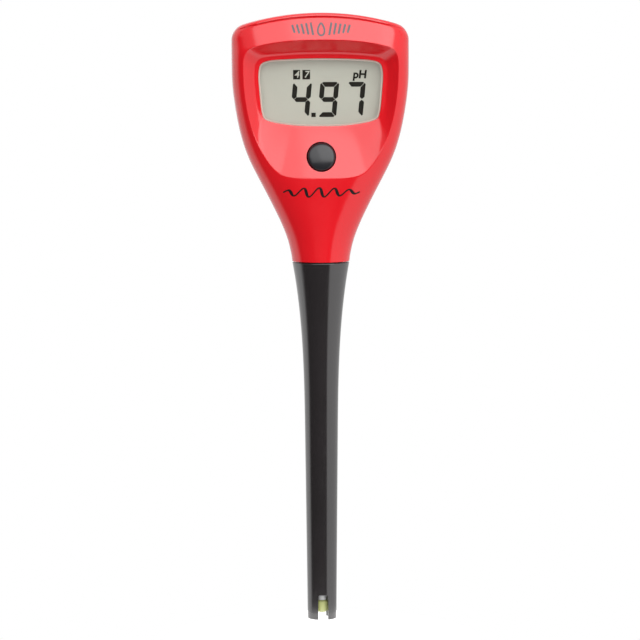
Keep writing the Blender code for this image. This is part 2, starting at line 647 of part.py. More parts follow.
def make_electrode():
    heights = (2, 25, 54, 64, 73, 81, 88, 94, 98.5, 101.6)
    shoulder = PROBE_TOP - 0.05
    edge = probe_radius(PROBE_TOP)
    profile = [(2.9, 110.0), (3.7, 110.0), (THREAD_CORE, 109.8), (THREAD_CORE, SOCKET_START + 0.3),
               (4.4, SOCKET_START), (4.4, shoulder), (edge - 0.35, shoulder), (edge, shoulder - 0.35)]
    profile += [(probe_radius(z), z) for z in reversed(heights)]
    profile += [(TIP_RADIUS, 0.2), (TIP_RADIUS - 0.2, 0), (BORE_RADIUS, 0), (BORE_RADIUS, 96), (1.4, 97.6),
                (1.4, 107.4), (2.9, 107.4)]
    body = turned("electrode_body", profile, DARK, 28, True)
    join(body, helix("male_thread", THREAD_CORE - 0.25, THREAD_CREST, THREAD_START))
    half = SLOT_WIDTH / 2
    cut(body, box("tip_slot", (-half, -8, -1), (half, 8, SLOT_HEIGHT), None, (0, 0, SLOT_TURN)))
    turned("glass_stem", [(1.5, 92), (1.5, 5.25), (1.0, 5.25), (1.0, 92)], STEM_GLASS, 16, True)
    outer = [(1.5, 5.2), (1.75, 4.7), (1.85, 3.8), (1.8, 2.8), (1.5, 2.1), (0.9, 1.75), (0, 1.65)]
    inner = [(0, 1.95), (0.8, 2.05), (1.3, 2.35), (1.5, 2.9), (1.55, 3.8), (1.45, 4.5), (1.15, 5.2)]
    turned("sensing_bulb", inner + outer, BULB_GLASS, 16)
    cylinder("inner_wire", 0.25, 3.0, 102, SILVER, 8)
    cylinder("reference_wire", 0.25, 14, 95, SILVER, 8, (2.25, 0, 0))
    lower = turned("lower_seal", [(2.9, 10.6), (2.9, 7.6), (1.6, 7.6), (1.6, 10.6)], RUBBER, 24, True)
    cut(lower, cylinder("junction_hole", 0.5, 7, 12, None, 10, (-2.25, 0, 0)))
    cylinder("reference_junction", 0.42, 7.3, 11.0, CERAMIC, 10, (-2.25, 0, 0))
    upper = turned("upper_plug", [(2.9, 93), (2.9, 89), (1.6, 89), (1.6, 93)], RUBBER, 24, True)
    cut(upper, cylinder("wire_hole", 0.4, 88, 94, None, 10, (2.25, 0, 0)))
    turned("contact_insulator", [(2.75, 110.9), (2.75, 107.6), (0.95, 107.6), (0.95, 110.9)], WHITE, 20,
           True)
    turned("contact_pin", [(0, 113.2), (0.5, 113.0), (0.75, 112.6), (0.75, 104), (0, 104)], BRASS, 12)
    turned("contact_ring", [(3.7, 110.6), (3.7, 110.1), (2.95, 110.1), (2.95, 110.6)], BRASS, 20, True)
    torus("electrode_seal", 5.55, 0.52, RUBBER, (0, 0, (shoulder + SOCKET_START) / 2), (0, 0, 0), 24, 6)


def make_socket():
    ledge = SOCKET_LEDGE + 0.1
    outline = [(SOCKET_FLANGE, 114.8), (SOCKET_FLANGE, ledge), (SOCKET_RADIUS, ledge),
               (SOCKET_RADIUS, SOCKET_START), (NUT_ROOT, SOCKET_START), (NUT_ROOT, 114.8)]
    socket = turned("electrode_socket", outline, DARK, 24, True)
    join(socket, helix("female_thread", NUT_ROOT + 0.3, NUT_CREST, THREAD_START + THREAD_PITCH / 2))
    outline = [(4.8, 114.6), (4.8, 112.2), (1.65, 112.2), (1.65, 114.6)]
    insulator = turned("socket_insulator", outline, WHITE, 24, True)
    cut(insulator, box("leg_slot", (2.8, -0.7, 110), (3.7, 0.7, 118), None))
    turned("socket_pin_contact", [(1.5, 116.8), (1.5, 111.4), (1.0, 111.4), (1.0, 116.8)], BRASS, 16, True)
    outline = [(3.7, 111.2), (3.7, 110.75), (2.95, 110.75), (2.95, 111.2)]
    ring = turned("socket_ring_contact", outline, BRASS, 20, True)
    join(ring, box("contact_leg", (3.0, -0.5, 111.0), (3.5, 0.5, 116.8), None))
    path = [(0, 0, 117.3), (0, 0.2, 118.6), (-1.0, 1.0, 120.2), (-2.0, 1.7, 122.0), (-2.2, 2.0, 124.5)]
    wire("signal_wire", path, LEAD_RADIUS, WHITE)
    path = [(3.25, 0, 117.3), (3.3, 0.2, 118.6), (3.0, 1.0, 120.2), (2.6, 1.7, 122.0), (2.5, 2.0, 124.5)]
    wire("reference_lead", path, LEAD_RADIUS, RUBBER)


make_front_shell()
make_rear_shell()
seal_path("case_seal", 0.35, 0.0, 0.8, RUBBER)
make_display()
make_board()
make_button()
make_battery()
make_screws()
make_electrode()
make_socket()
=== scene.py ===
import math

import bmesh
import bpy
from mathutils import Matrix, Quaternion, Vector


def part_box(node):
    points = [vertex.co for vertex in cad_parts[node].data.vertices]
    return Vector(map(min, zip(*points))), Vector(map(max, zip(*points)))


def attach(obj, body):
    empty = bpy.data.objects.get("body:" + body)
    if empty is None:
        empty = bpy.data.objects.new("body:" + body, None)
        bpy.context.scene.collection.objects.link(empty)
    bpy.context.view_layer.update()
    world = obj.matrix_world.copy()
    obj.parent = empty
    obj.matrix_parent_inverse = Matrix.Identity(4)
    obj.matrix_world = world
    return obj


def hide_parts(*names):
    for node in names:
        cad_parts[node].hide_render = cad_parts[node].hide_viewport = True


# Digital pH tester: the fine surfaces, materials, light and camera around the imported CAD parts.
# Frame: +Z up along the electrode, the display faces -Y. Sizes are in millimetres, and MM makes them metres.
MM = 0.001

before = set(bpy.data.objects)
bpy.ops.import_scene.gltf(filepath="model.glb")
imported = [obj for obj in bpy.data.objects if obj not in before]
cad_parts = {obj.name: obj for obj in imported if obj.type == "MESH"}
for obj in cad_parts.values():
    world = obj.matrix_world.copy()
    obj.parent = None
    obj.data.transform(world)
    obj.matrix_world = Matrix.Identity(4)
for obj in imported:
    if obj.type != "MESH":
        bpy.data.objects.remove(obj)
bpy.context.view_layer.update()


def node_box(name):
    """A CAD node's lowest and highest corners, in millimetres."""
    return tuple(Vector(corner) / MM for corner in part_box(name))


# ---- sizes, read from the frame where it has them

HEAD_LOW, HEAD_HIGH = node_box("front_shell")
HEAD_TOP, NECK_END = HEAD_HIGH.z, HEAD_LOW.z
HALF_DEPTH = node_box("rear_shell")[1].y
PROBE_TOP = 103.1
PARTING = 0.06

WIDTH_KNOTS = ((103.4, 8.2), (105.3, 8.45), (109.6, 9.48), (114.2, 11.25), (118.7, 13.38), (123.2, 15.65),
               (127.7, 18.0), (132.2, 20.2), (136.7, 21.9), (142.6, 23.4), (150.3, 24.5), (158.3, 25.1),
               (165.2, 25.2))
DEPTH_KNOTS = ((103.4, 8.15), (109.2, 8.3), (118.1, 8.9), (127.4, 9.8), (140.6, 10.3), (150.5, 10.5))
ROUNDNESS_KNOTS = ((103.4, 2.0), (113.2, 2.05), (125.9, 2.35), (138.7, 2.8), (150.5, 3.2))
CROWN_RADIUS, CROWN_START, CROWN_LENGTH = 75.0, 140.6, 25.5
CORNER_RADIUS, CORNER_START = 3.2, 170.5
BROW_START, BROW_SLOPE, BROW_SOFTNESS = 166.0, 0.4, 0.5
CREASE_LEVEL, CREASE_HALF, CREASE_DEPTH = 172.85, 0.35, 0.14
RIM_STEP, RIM_EDGE, RIM_ROUND, RIM_POWER = 0.30, 0.3, 1.1, 2.2
BACK_START, BACK_HEIGHT, BACK_DEPTH, BACK_INSET = 162.0, 12.4, 4.0, 0.3
BACK_EDGE = 0.9

RECESS_HALF = ((0, 166.4), (9.5, 166.05), (16.8, 164.95), (20.4, 163.7), (21.7, 161.5), (21.9, 155.8),
               (21.3, 149.0), (19.6, 141.2), (16.9, 134.9), (13.9, 130.5), (11.4, 128.4), (8.0, 127.6),
               (0, 127.4))
WINDOW_HALF = ((0, 161.15), (9.0, 160.95), (15.0, 160.45), (16.9, 159.6), (17.6, 157.5), (17.4, 151.9),
               (16.7, 145.75), (16.1, 144.2), (14.6, 143.4), (8.0, 142.25), (0, 141.95))
FLOOR_Y = -5.0
RAMP_START, RAMP_BLEND, RAMP_CURVE = 0.5, 0.17, 0.65
HINGE, HINGE_WIDTH = 0.3, 0.12

BUTTON_Z = 133.4
BUTTON_RADIUS, BUTTON_HOLE, BUTTON_POCKET = 3.9, 4.2, 5.4
DOME_RADIUS, DOME_DROP, DOME_APEX = 10.0, 2.7, 8.9

CELL_Z = 147.5
COVER_RADIUS, COVER_Y = 13.3, (8.65, 10.3)
WELL_RADIUS, SEAT_RADIUS, SEAT_Y, LAND_RADIUS = 12.7, 13.6, 7.6, 15.0
CASE_SCREWS = ((-20.2, 166.9), (20.2, 166.9), (-7.0, 119.5), (7.0, 119.5))
BOARD_SCREWS = ((-15.2, 136.7), (15.2, 136.7))
SCREW_SEAT_Y = 4.25

SHELL_WALL = 1.7
SOCKET_BORE, SOCKET_TOP = 6.4, 115.2
AXIS_BACK = (math.radians(-90), 0, 0)
AXIS_FRONT = (math.radians(90), 0, 0)


# ---- curves shared by the shells

def ease(share):
    """A smooth step: 0 at 0, 1 at 1 and level at both."""
    return share * share * (3 - 2 * share)


def clamped(value):
    return min(max(value, 0.0), 1.0)


def polar(radius, angle):
    return radius * math.cos(angle), radius * math.sin(angle)


def circle(radius, steps):
    return [polar(radius, 2 * math.pi * k / steps) for k in range(steps)]


def hermite(t, start, end, start_slope, end_slope):
    """A cubic between two values, with the slopes given for the whole span."""
    return ((2 * t**3 - 3 * t**2 + 1) * start + (t**3 - 2 * t**2 + t) * start_slope
            + (3 * t**2 - 2 * t**3) * end + (t**3 - t**2) * end_slope)


def smooth_value(knots, at):
    """Cubic interpolation through (position, value) knots, level beyond the ends."""
    if at <= knots[0][0]:
        return knots[0][1]
    if at >= knots[-1][0]:
        return knots[-1][1]
    i = next(k for k in range(len(knots) - 1) if knots[k + 1][0] >= at)
    (p1, v1), (p2, v2) = knots[i], knots[i + 1]
    p0, v0 = knots[max(i - 1, 0)]
    p3, v3 = knots[min(i + 2, len(knots) - 1)]
    step = p2 - p1
    slope1 = (v2 - v0) / (p2 - p0) * step
    slope2 = (v3 - v1) / (p3 - p1) * step
    return hermite((at - p1) / step, v1, v2, slope1, slope2)


def smooth_half(half, per_span):
    """The right half of a mirror-symmetric outline as a centripetal Catmull-Rom curve."""
    knots = [Vector(p) for p in half]
    knots = [Vector((-knots[1].x, knots[1].y))] + knots + [Vector((-knots[-2].x, knots[-2].y))]
    points = []
    for i in range(1, len(knots) - 2):
        p0, p1, p2, p3 = knots[i - 1:i + 3]
        d0, d1, d2 = ((b - a).length**0.5 for a, b in ((p0, p1), (p1, p2), (p2, p3)))
        slope1 = (p1 - p0) / d0 - (p2 - p0) / (d0 + d1) + (p2 - p1) / d1
        slope2 = (p2 - p1) / d1 - (p3 - p1) / (d1 + d2) + (p3 - p2) / d2
        points += [hermite(k / per_span, p1, p2, d1 * slope1, d1 * slope2) for k in range(per_span)]
    return points + [knots[-2]]


def spread(points, count):
    """Points at even distances along a polyline, with both ends."""
    lengths = [0.0]
    for a, b in zip(points, points[1:]):
        lengths.append(lengths[-1] + (b - a).length)
    result, i = [], 0
    for k in range(count):
        at = lengths[-1] * k / (count - 1)
        while i < len(points) - 2 and lengths[i + 1] < at:
            i += 1
        share = (at - lengths[i]) / max(lengths[i + 1] - lengths[i], 1e-9)
        result.append(points[i].lerp(points[i + 1], min(share, 1.0)))
    return result


def whole_loop(half):
    """A right half from top middle to bottom middle, closed with its mirror image."""
    return list(half) + [Vector((-p.x, *p[1:])) for p in half[-2:0:-1]]


def fillet_drop(level, start, height, depth):
    """How far a quarter round has drawn the surface in at a level."""
    share = clamped((level - start) / height)
    return depth * (1 - math.sqrt(1 - share * share))


def crown(level):
    """How strongly a level line bends down towards the sides: 0 below the display, 1 at the top."""
    return ease(clamped((level - CROWN_START) / CROWN_LENGTH))


def crown_drop(level, x):
    return crown(level) * x * x / (2 * CROWN_RADIUS)


def level_through(x, z, passes):
    """The level whose bent line goes through (x, z)."""
    level = z
    for _ in range(passes):
        level = z + crown_drop(level, x)
    return level


def half_width(level):
    corner = fillet_drop(level, CORNER_START, HEAD_TOP - CORNER_START, CORNER_RADIUS)
    return smooth_value(WIDTH_KNOTS, level) - corner


def front_depth(level):
    brow = BROW_SOFTNESS * math.log1p(math.exp(min((level - BROW_START) / BROW_SOFTNESS, 40.0)))
    return smooth_value(DEPTH_KNOTS, level) - BROW_SLOPE * brow


def back_depth(level):
    return (smooth_value(DEPTH_KNOTS, level) - BACK_INSET * crown(level)
            - fillet_drop(level, BACK_START, BACK_HEIGHT, BACK_DEPTH))


def section_share(angle, power):
    """(x, y) of a unit superellipse at an angle."""
    c, s = math.cos(angle), math.sin(angle)
    reach = (abs(c) ** power + abs(s) ** power) ** (-1 / power)
    return c * reach, s * reach


def head_point(angle, level, depth_of, side, depth_change=0.0):
    """A point of the head's outer surface. side is -1 at the display and 1 at the back."""
    share_x, share_y = section_share(angle, smooth_value(ROUNDNESS_KNOTS, level))
    x = half_width(level) * share_x
    y = max((depth_of(level) + depth_change) * share_y, PARTING)
    return Vector((x, side * y, level - crown_drop(level, x)))


def place_on_front(x, z):
    """(angle, level) of the point of the display side's outer surface at (x, z)."""
    level = level_through(x, z, 10)
    power = smooth_value(ROUNDNESS_KNOTS, level)
    share = min(abs(x) / half_width(level), 1.0)
    angle = math.atan2((1 - share**power) ** (1 / power), share)
    return (angle if x >= 0 else math.pi - angle), level


def front_y(x, z):
    angle, level = place_on_front(x, z)
    return head_point(angle, level, front_depth, -1).y


# ---- object makers

def linked(name, data):
    obj = bpy.data.objects.new(name, data)
    bpy.context.scene.collection.objects.link(obj)
    return obj


def new_object(name, mesh, look, body, replaces=()):
    mesh.name = name
    obj = linked(name, mesh)
    if look is not None:
        mesh.materials.append(look)
    if body is not None:
        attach(obj, body)
    if replaces:
        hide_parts(*replaces)
    return obj


def skin(node, mesh, look, body):
    """The object that stands in for a CAD node."""
    return new_object(f"{node}_skin", mesh, look, body, [node])


def shade(obj, degrees):
    """Smooth shading, with edges sharper than the angle left sharp."""
    obj.data.shade_smooth()
    obj.data.set_sharp_from_angle(angle=math.radians(degrees))


def mesh_from(bm, turn_outwards=True):
    if turn_outwards:
        bmesh.ops.recalc_face_normals(bm, faces=bm.faces)
        if bm.calc_volume(signed=True) < 0:
            bmesh.ops.reverse_faces(bm, faces=bm.faces)
    mesh = bpy.data.meshes.new("mesh")
    bm.to_mesh(mesh)
    bm.free()
    return mesh


def rings_mesh(rings, wrap=False):
    """A closed mesh through rings of equal length, with its ends capped or joined to each other."""
    bm = bmesh.new()
    loops = [[bm.verts.new(Vector(point) * MM) for point in ring] for ring in rings]
    count = len(loops[0])
    pairs = list(zip(loops, loops[1:])) + ([(loops[-1], loops[0])] if wrap else [])
    for low, high in pairs:
        for i in range(count):
            j = (i + 1) % count
            bm.faces.new((low[i], low[j], high[j], high[i]))
    if not wrap:
        bm.faces.new(loops[0])
        bm.faces.new(loops[-1])
    return mesh_from(bm)


ON_AXIS = 1e-6


def turned_mesh(profile, steps=96, ring=False):
    """A (radius, height) profile turned about Z. Points at radius 0 close it, or ring joins its ends."""
    bm = bmesh.new()
    columns = []
    for k in range(steps):
        angle = 2 * math.pi * k / steps
        columns.append([bm.verts.new(Vector((*polar(r, angle), z)) * MM) if r > ON_AXIS else None
                        for r, z in profile])
    axis = [bm.verts.new((0, 0, z * MM)) if r <= ON_AXIS else None for r, z in profile]
    count = len(profile)
    for k in range(steps):
        here, after = columns[k], columns[(k + 1) % steps]
        for i in range(count if ring else count - 1):
            j = (i + 1) % count
            corners = []
            for vert in (here[i] or axis[i], here[j] or axis[j], after[j] or axis[j], after[i] or axis[i]):
                if vert not in corners:
                    corners.append(vert)
            if len(corners) > 2:
                bm.faces.new(corners)
    return mesh_from(bm)


LARGEST_SHARE = 0.45


def rounded(points, radius, steps=4):
    """A polyline of (radius, height) points with rounded corners. A point's third value overrides the
    radius, and no rounding takes more than nearly half of a side."""
    result = []
    count = len(points)
    for i, point in enumerate(points):
        here = Vector(point[:2])
        size = point[2] if len(point) > 2 else radius
        if i in (0, count - 1) or size == 0:
            result.append(tuple(here))
            continue
        before, after = Vector(points[i - 1][:2]), Vector(points[i + 1][:2])
        size = min(size, LARGEST_SHARE * (before - here).length, LARGEST_SHARE * (after - here).length)
        start = here + (before - here).normalized() * size
        end = here + (after - here).normalized() * size
        for k in range(steps + 1):
            t = k / steps
            result.append(tuple((1 - t) ** 2 * start + 2 * t * (1 - t) * here + t * t * end))
    return result


def cutter(name, mesh, location=(0, 0, 0), turn=(0, 0, 0)):
    """A helper object, for a Boolean or for making a mesh, that is removed after use."""
    obj = linked(name, mesh)
    obj.location = Vector(location) * MM
    obj.rotation_euler = turn
    return obj


def apply_cuts(obj, cutters, operation="DIFFERENCE", solver="EXACT"):
    """Applies a Boolean with each cutter and removes the cutters."""
    for other in cutters:
        step = obj.modifiers.new(other.name, "BOOLEAN")
        step.operation, step.solver, step.object = operation, solver, other
    apply_modifiers(obj)
    for other in cutters:
        bpy.data.objects.remove(other, do_unlink=True)


def evaluated_mesh(obj):
    bpy.context.view_layer.update()
    graph = bpy.context.evaluated_depsgraph_get()
    return bpy.data.meshes.new_from_object(obj.evaluated_get(graph), depsgraph=graph)


def apply_modifiers(obj):
    mesh = evaluated_mesh(obj)
    obj.modifiers.clear()
    obj.data = mesh


def bevel(obj, width, degrees=35):
    """A narrow round on every edge sharper than the angle."""
    step = obj.modifiers.new("Bevel", "BEVEL")
    step.width = width * MM
    step.segments = 2
    step.limit_method = "ANGLE"
    step.angle_limit = math.radians(degrees)
    step.harden_normals = False
    apply_modifiers(obj)


def joined(meshes):
    """One mesh from several, without their materials."""
    bm = bmesh.new()
    for mesh in meshes:
        bm.from_mesh(mesh)
    return mesh_from(bm, False)


def rectangle(left, right, low, high):
    return [(left, low), (right, low), (right, high), (left, high)]


def prism(outline, start, end):
    """A solid along Y with an outline of (x, z) points."""
    return rings_mesh([[(x, y, z) for x, z in outline] for y in (start, end)])


# ---- materials

def bare_material(name):
    made = bpy.data.materials.new(name)
    made.use_nodes = True
    return made, made.node_tree, made.node_tree.nodes["Principled BSDF"]


def set_inputs(node, inputs):
    for key, value in inputs.items():
        node.inputs[key].default_value = (*value, 1) if key.endswith("Color") else value


def add_node(tree, kind, inputs=None, **settings):
    made = tree.nodes.new(kind)
    for key, value in settings.items():
        setattr(made, key, value)
    set_inputs(made, inputs or {})
    return made


def noise(tree, scale, detail=3.0, roughness=0.5, stretch=(1, 1, 1)):
    """The values of a noise in object space, where one unit is a metre."""
    where = add_node(tree, "ShaderNodeTexCoord")
    mapping = add_node(tree, "ShaderNodeMapping", {"Scale": stretch})
    tree.links.new(where.outputs["Object"], mapping.inputs["Vector"])
    made = add_node(tree, "ShaderNodeTexNoise", {"Scale": scale, "Detail": detail, "Roughness": roughness})
    tree.links.new(mapping.outputs["Vector"], made.inputs["Vector"])
    return made.outputs["Fac"]


def ramp(tree, source, target, low, high, low_at=0.3, high_at=0.7):
    """Drives an input with a blend of two colours or grey levels, as source goes from low_at to high_at."""
    made = add_node(tree, "ShaderNodeValToRGB")
    made.color_ramp.elements[0].position, made.color_ramp.elements[1].position = low_at, high_at
    for element, value in zip(made.color_ramp.elements, (low, high)):
        element.color = (*value, 1) if isinstance(value, tuple) else (value, value, value, 1)
    tree.links.new(source, made.inputs["Fac"])
    tree.links.new(made.outputs["Color"], target)


def bump(tree, shader, source, distance, previous=None):
    """Relief of a depth in millimetres, laid over an earlier relief where there is one."""
    made = add_node(tree, "ShaderNodeBump", {"Strength": 1.0, "Distance": distance * MM})
    tree.links.new(source, made.inputs["Height"])
    if previous is not None:
        tree.links.new(previous, made.inputs["Normal"])
    tree.links.new(made.outputs["Normal"], shader.inputs["Normal"])
    return made.outputs["Normal"]


def moulded_plastic(name, colour, shadow, roughness, wear=0.03, flow=0.004, grain=0.0012, ior=1.5,
                    specular=0.5):
    """Injection moulded plastic: slight colour variation, faint flow waviness, fine grain and uneven
    gloss. wear is the spread of the roughness, and flow and grain are depths in millimetres."""
    made, tree, shader = bare_material(name)
    cloud = noise(tree, 45.0, 4.0, 0.55)
    ramp(tree, cloud, shader.inputs["Base Color"], shadow, colour, 0.25, 0.6)
    haze = noise(tree, 260.0, 5.0, 0.65)
    ramp(tree, haze, shader.inputs["Roughness"], roughness - wear, roughness + wear)
    set_inputs(shader, {"IOR": ior, "Specular IOR Level": specular})
    waves = bump(tree, shader, noise(tree, 90.0, 1.0, 0.4), flow)
    bump(tree, shader, noise(tree, 3200.0, 2.0, 0.5), grain, waves)
    return made


def glow(look, colour):
    """A faint light of its own, in place of the light that the deep window keeps off the display."""
    shader = look.node_tree.nodes["Principled BSDF"]
    set_inputs(shader, {"Emission Color": colour, "Emission Strength": 1.0})


def rubber_material(name, colour):
    """Matt rubber with a little pale dust."""
    made, tree, shader = bare_material(name)
    dust = noise(tree, 900.0, 5.0, 0.7)
    lighter = tuple(min(1.0, c * 2.0 + 0.008) for c in colour)
    ramp(tree, dust, shader.inputs["Base Color"], colour, lighter, 0.45, 0.85)
    ramp(tree, dust, shader.inputs["Roughness"], 0.55, 0.75)
    bump(tree, shader, noise(tree, 2500.0, 3.0), 0.01)
    return made


def metal_material(name, colour, roughness, stretch=(1, 1, 1)):
    """Metal with darker tarnish and fine scratches."""
    made, tree, shader = bare_material(name)
    tarnish = noise(tree, 220.0, 4.0, 0.6)
    darker = tuple(c * 0.72 for c in colour)
    ramp(tree, tarnish, shader.inputs["Base Color"], darker, colour, 0.3, 0.62)
    set_inputs(shader, {"Metallic": 1.0})
    lines = noise(tree, 1800.0, 4.0, 0.6, stretch)
    ramp(tree, lines, shader.inputs["Roughness"], roughness - 0.08, roughness + 0.12)
    bump(tree, shader, lines, 0.002)
    return made


def clear_material(name, colour, roughness, transmission, ior, alpha=1.0):
    """Glass or clear plastic with faint smears."""
    made, tree, shader = bare_material(name)
    set_inputs(shader, {"Base Color": colour, "Transmission Weight": transmission, "IOR": ior,
                        "Alpha": alpha})
    smear = noise(tree, 130.0, 4.0, 0.6)
    ramp(tree, smear, shader.inputs["Roughness"], roughness, roughness + 0.05)
    return made


def striped_material(name, colour, stripe, scale):
    """Fine stripes along X, as in a conductive strip connector."""
    made, tree, shader = bare_material(name)
    where = add_node(tree, "ShaderNodeTexCoord")
    waves = add_node(tree, "ShaderNodeTexWave", {"Scale": scale, "Distortion": 0.2}, bands_direction="X")
    tree.links.new(where.outputs["Object"], waves.inputs["Vector"])
    ramp(tree, waves.outputs["Fac"], shader.inputs["Base Color"], colour, stripe, 0.45, 0.55)
    set_inputs(shader, {"Roughness": 0.65})
    return made


def board_material(name):
    """Green solder mask with paler tracks under it."""
    made, tree, shader = bare_material(name)
    where = add_node(tree, "ShaderNodeTexCoord")
    turn = add_node(tree, "ShaderNodeMapping", {"Rotation": AXIS_FRONT})
    tree.links.new(where.outputs["Object"], turn.inputs["Vector"])
    cells = add_node(tree, "ShaderNodeTexBrick", {"Scale": 260.0, "Mortar Size": 0.03,
                                                  "Color1": (0, 0, 0, 1), "Color2": (0, 0, 0, 1),
                                                  "Mortar": (1, 1, 1, 1)})
    tree.links.new(turn.outputs["Vector"], cells.inputs["Vector"])
    ramp(tree, cells.outputs["Fac"], shader.inputs["Base Color"], (0.012, 0.11, 0.045), (0.03, 0.22, 0.09))
    bump(tree, shader, cells.outputs["Fac"], 0.02)
    ramp(tree, noise(tree, 300.0), shader.inputs["Roughness"], 0.25, 0.4)
    return made


RED_COLOUR = (0.67, 0.0095, 0.0155)
FINE_GRAIN = 0.0006
RED = moulded_plastic("red_abs", RED_COLOUR, (0.63, 0.0085, 0.014), 0.15, 0.02, 0.0025, FINE_GRAIN, 1.65)
RED_REAR = moulded_plastic("red_abs_rear", RED_COLOUR, (0.62, 0.0085, 0.0135), 0.24, 0.03, 0.003, 0.004, 1.6)
DARK = moulded_plastic("dark_grey_abs", (0.0200, 0.0172, 0.0180), (0.0170, 0.0148, 0.0152), 0.17,
                       flow=0.0015, ior=1.65, specular=0.95)
BUTTON = moulded_plastic("button_grey", (0.016, 0.016, 0.019), (0.013, 0.013, 0.015), 0.2,
                         flow=0.001, grain=0.0008)
RUBBER = rubber_material("black_rubber", (0.018, 0.018, 0.019))
STEEL = metal_material("zinc_plated_steel", (0.62, 0.62, 0.60), 0.28)
BRASS = metal_material("gold_flashed_brass", (0.80, 0.58, 0.24), 0.25)
SILVER = metal_material("silver_wire", (0.75, 0.74, 0.71), 0.35, (1, 1, 0.1))
PRINT_GREY = moulded_plastic("print_grey", (0.13, 0.13, 0.145), (0.115, 0.115, 0.125), 0.5,
                             flow=0.0, grain=FINE_GRAIN, specular=0.25)
PRINT_BLACK = moulded_plastic("print_black", (0.008, 0.006, 0.006), (0.006, 0.005, 0.005), 0.5,
                              flow=0.0, grain=FINE_GRAIN, specular=0.25)
WHITE = moulded_plastic("white_plastic", (0.80, 0.79, 0.75), (0.74, 0.73, 0.68), 0.45, 0.05, 0.003, 0.003)
CHIP = moulded_plastic("chip_epoxy", (0.016, 0.016, 0.016), (0.012, 0.012, 0.012), 0.5, 0.06, 0.002, 0.008)
CERAMIC = moulded_plastic("porous_ceramic", (0.84, 0.82, 0.76), (0.72, 0.70, 0.64), 0.7, 0.05, grain=0.02)
ACRYLIC_IOR = 1.49
CLEAR = clear_material("clear_acrylic", (0.1, 0.1, 0.1), 0.02, 0.0, ACRYLIC_IOR, 0.02)
# The lens chamfer's pale cream colour is a painted highlight, standing in for the light that the clear edge
# catches.
LENS_EDGE_HIGHLIGHT = clear_material("lens_edge_painted_highlight", (0.80, 0.75, 0.66), 0.4, 0.0, ACRYLIC_IOR, 0.8)
LCD_LOOK = moulded_plastic("lcd_reflector", (0.345, 0.355, 0.300), (0.33, 0.34, 0.288), 0.35,
                           flow=0.0, grain=0.0015)
glow(LCD_LOOK, (0.15, 0.147, 0.128))
INK = moulded_plastic("lcd_ink", (0.010, 0.009, 0.005), (0.008, 0.007, 0.004), 0.5,
                      flow=0.0, grain=FINE_GRAIN, specular=0.2)
STEM_GLASS = clear_material("stem_glass", (0.95, 0.95, 0.96), 0.05, 0.3, 1.5)
BULB_GLASS = clear_material("ph_glass", (0.74, 0.78, 0.34), 0.04, 0.35, 1.5)
ZEBRA = striped_material("zebra_rubber", (0.45, 0.12, 0.14), (0.02, 0.02, 0.02), 900.0)
BOARD = board_material("solder_mask")


# ---- shells

LOOP_HALF = 181
CORNER_SHARE, FOOT_SHARE = 0.27, 0.83
FIRST_STEP = 0.012
INSIDE_SHARES = (0.985, 0.96, 0.9, 0.8, 0.65, 0.5, 0.35, 0.2, 0.08, 0.0)
LIP, LIP_BLEND = 0.28, 0.22


def outline_place(share):
    """(angle, level) on the head's edge at a share of the half loop: along the top, down the side and
    round the neck."""
    if share < CORNER_SHARE:
        return math.pi / 2 * (1 - share / CORNER_SHARE), HEAD_TOP
    if share < FOOT_SHARE:
        down = (share - CORNER_SHARE) / (FOOT_SHARE - CORNER_SHARE)
        return 0.0, HEAD_TOP + (NECK_END - HEAD_TOP) * down
    return math.pi / 2 * (share - FOOT_SHARE) / (1 - FOOT_SHARE), NECK_END


def recess_shape(share, window_share):
    """How far the recess has come from the floor's level to the rim's, at a share of the way out: flat
    and then sloping, or a long ramp below the window."""
    below = ease(clamped((window_share - RAMP_START) / RAMP_BLEND))

    def hinge(at):
        return math.hypot(at - HINGE, HINGE_WIDTH) + at - HINGE

    wall = (hinge(share) - hinge(0.0)) / (hinge(1.0) - hinge(0.0))
    ramp = RAMP_CURVE * share + (1 - RAMP_CURVE) * share * share
    return wall + (ramp - wall) * below


def front_point(angle, level):
    """The display side's surface, with the crease and the raised rim round the top."""
    over = level - CREASE_LEVEL
    change = -CREASE_DEPTH * ease(max(0.0, 1 - abs(over) / CREASE_HALF))
    if over > 0:
        rim_front = (RIM_STEP + BROW_SLOPE * over) * min(over / RIM_EDGE, 1.0)
        share = over / (HEAD_TOP - CREASE_LEVEL)
        change += rim_front - RIM_ROUND * (1 - math.sqrt(max(1 - share**RIM_POWER, 0.0)))
    return head_point(angle, level, front_depth, -1, change)


def back_point(angle, level):
    return head_point(angle, level, back_depth, 1,
                      -fillet_drop(level, HEAD_TOP - BACK_EDGE, BACK_EDGE, BACK_EDGE))


def shares_outwards(steps):
    """Shares of the way from an inner outline to an outer one, without the start itself."""
    return [FIRST_STEP + (1 - FIRST_STEP) * k / steps for k in range(steps + 1)]


def outside_rings(starts, point_at, steps):
    """Rings from start points on the outer surface to the head's edge, even in angle and level."""
    spans = []
    for i, start in enumerate(starts):
        angle, level = place_on_front(*start)
        edge_angle, edge_level = outline_place(i / (len(starts) - 1))
        spans.append((angle, edge_angle - angle, level, edge_level - level))
    return [[point_at(angle + turn * share, level + rise * share) for angle, turn, level, rise in spans]
            for share in shares_outwards(steps)]


def inside_edge(share, side):
    """The inside's edge: on the parting plane, or round the socket's bore at the neck."""
    angle, level = outline_place(share)
    if share > FOOT_SHARE:
        x, y = polar(SOCKET_BORE, angle)
        return Vector((x, side * y, NECK_END))
    level = min(level, HEAD_TOP - SHELL_WALL)
    share_x = section_share(angle, smooth_value(ROUNDNESS_KNOTS, level))[0]
    x = max(half_width(level) - SHELL_WALL, SOCKET_BORE) * share_x
    return Vector((x, side * PARTING, level - crown_drop(level, x)))


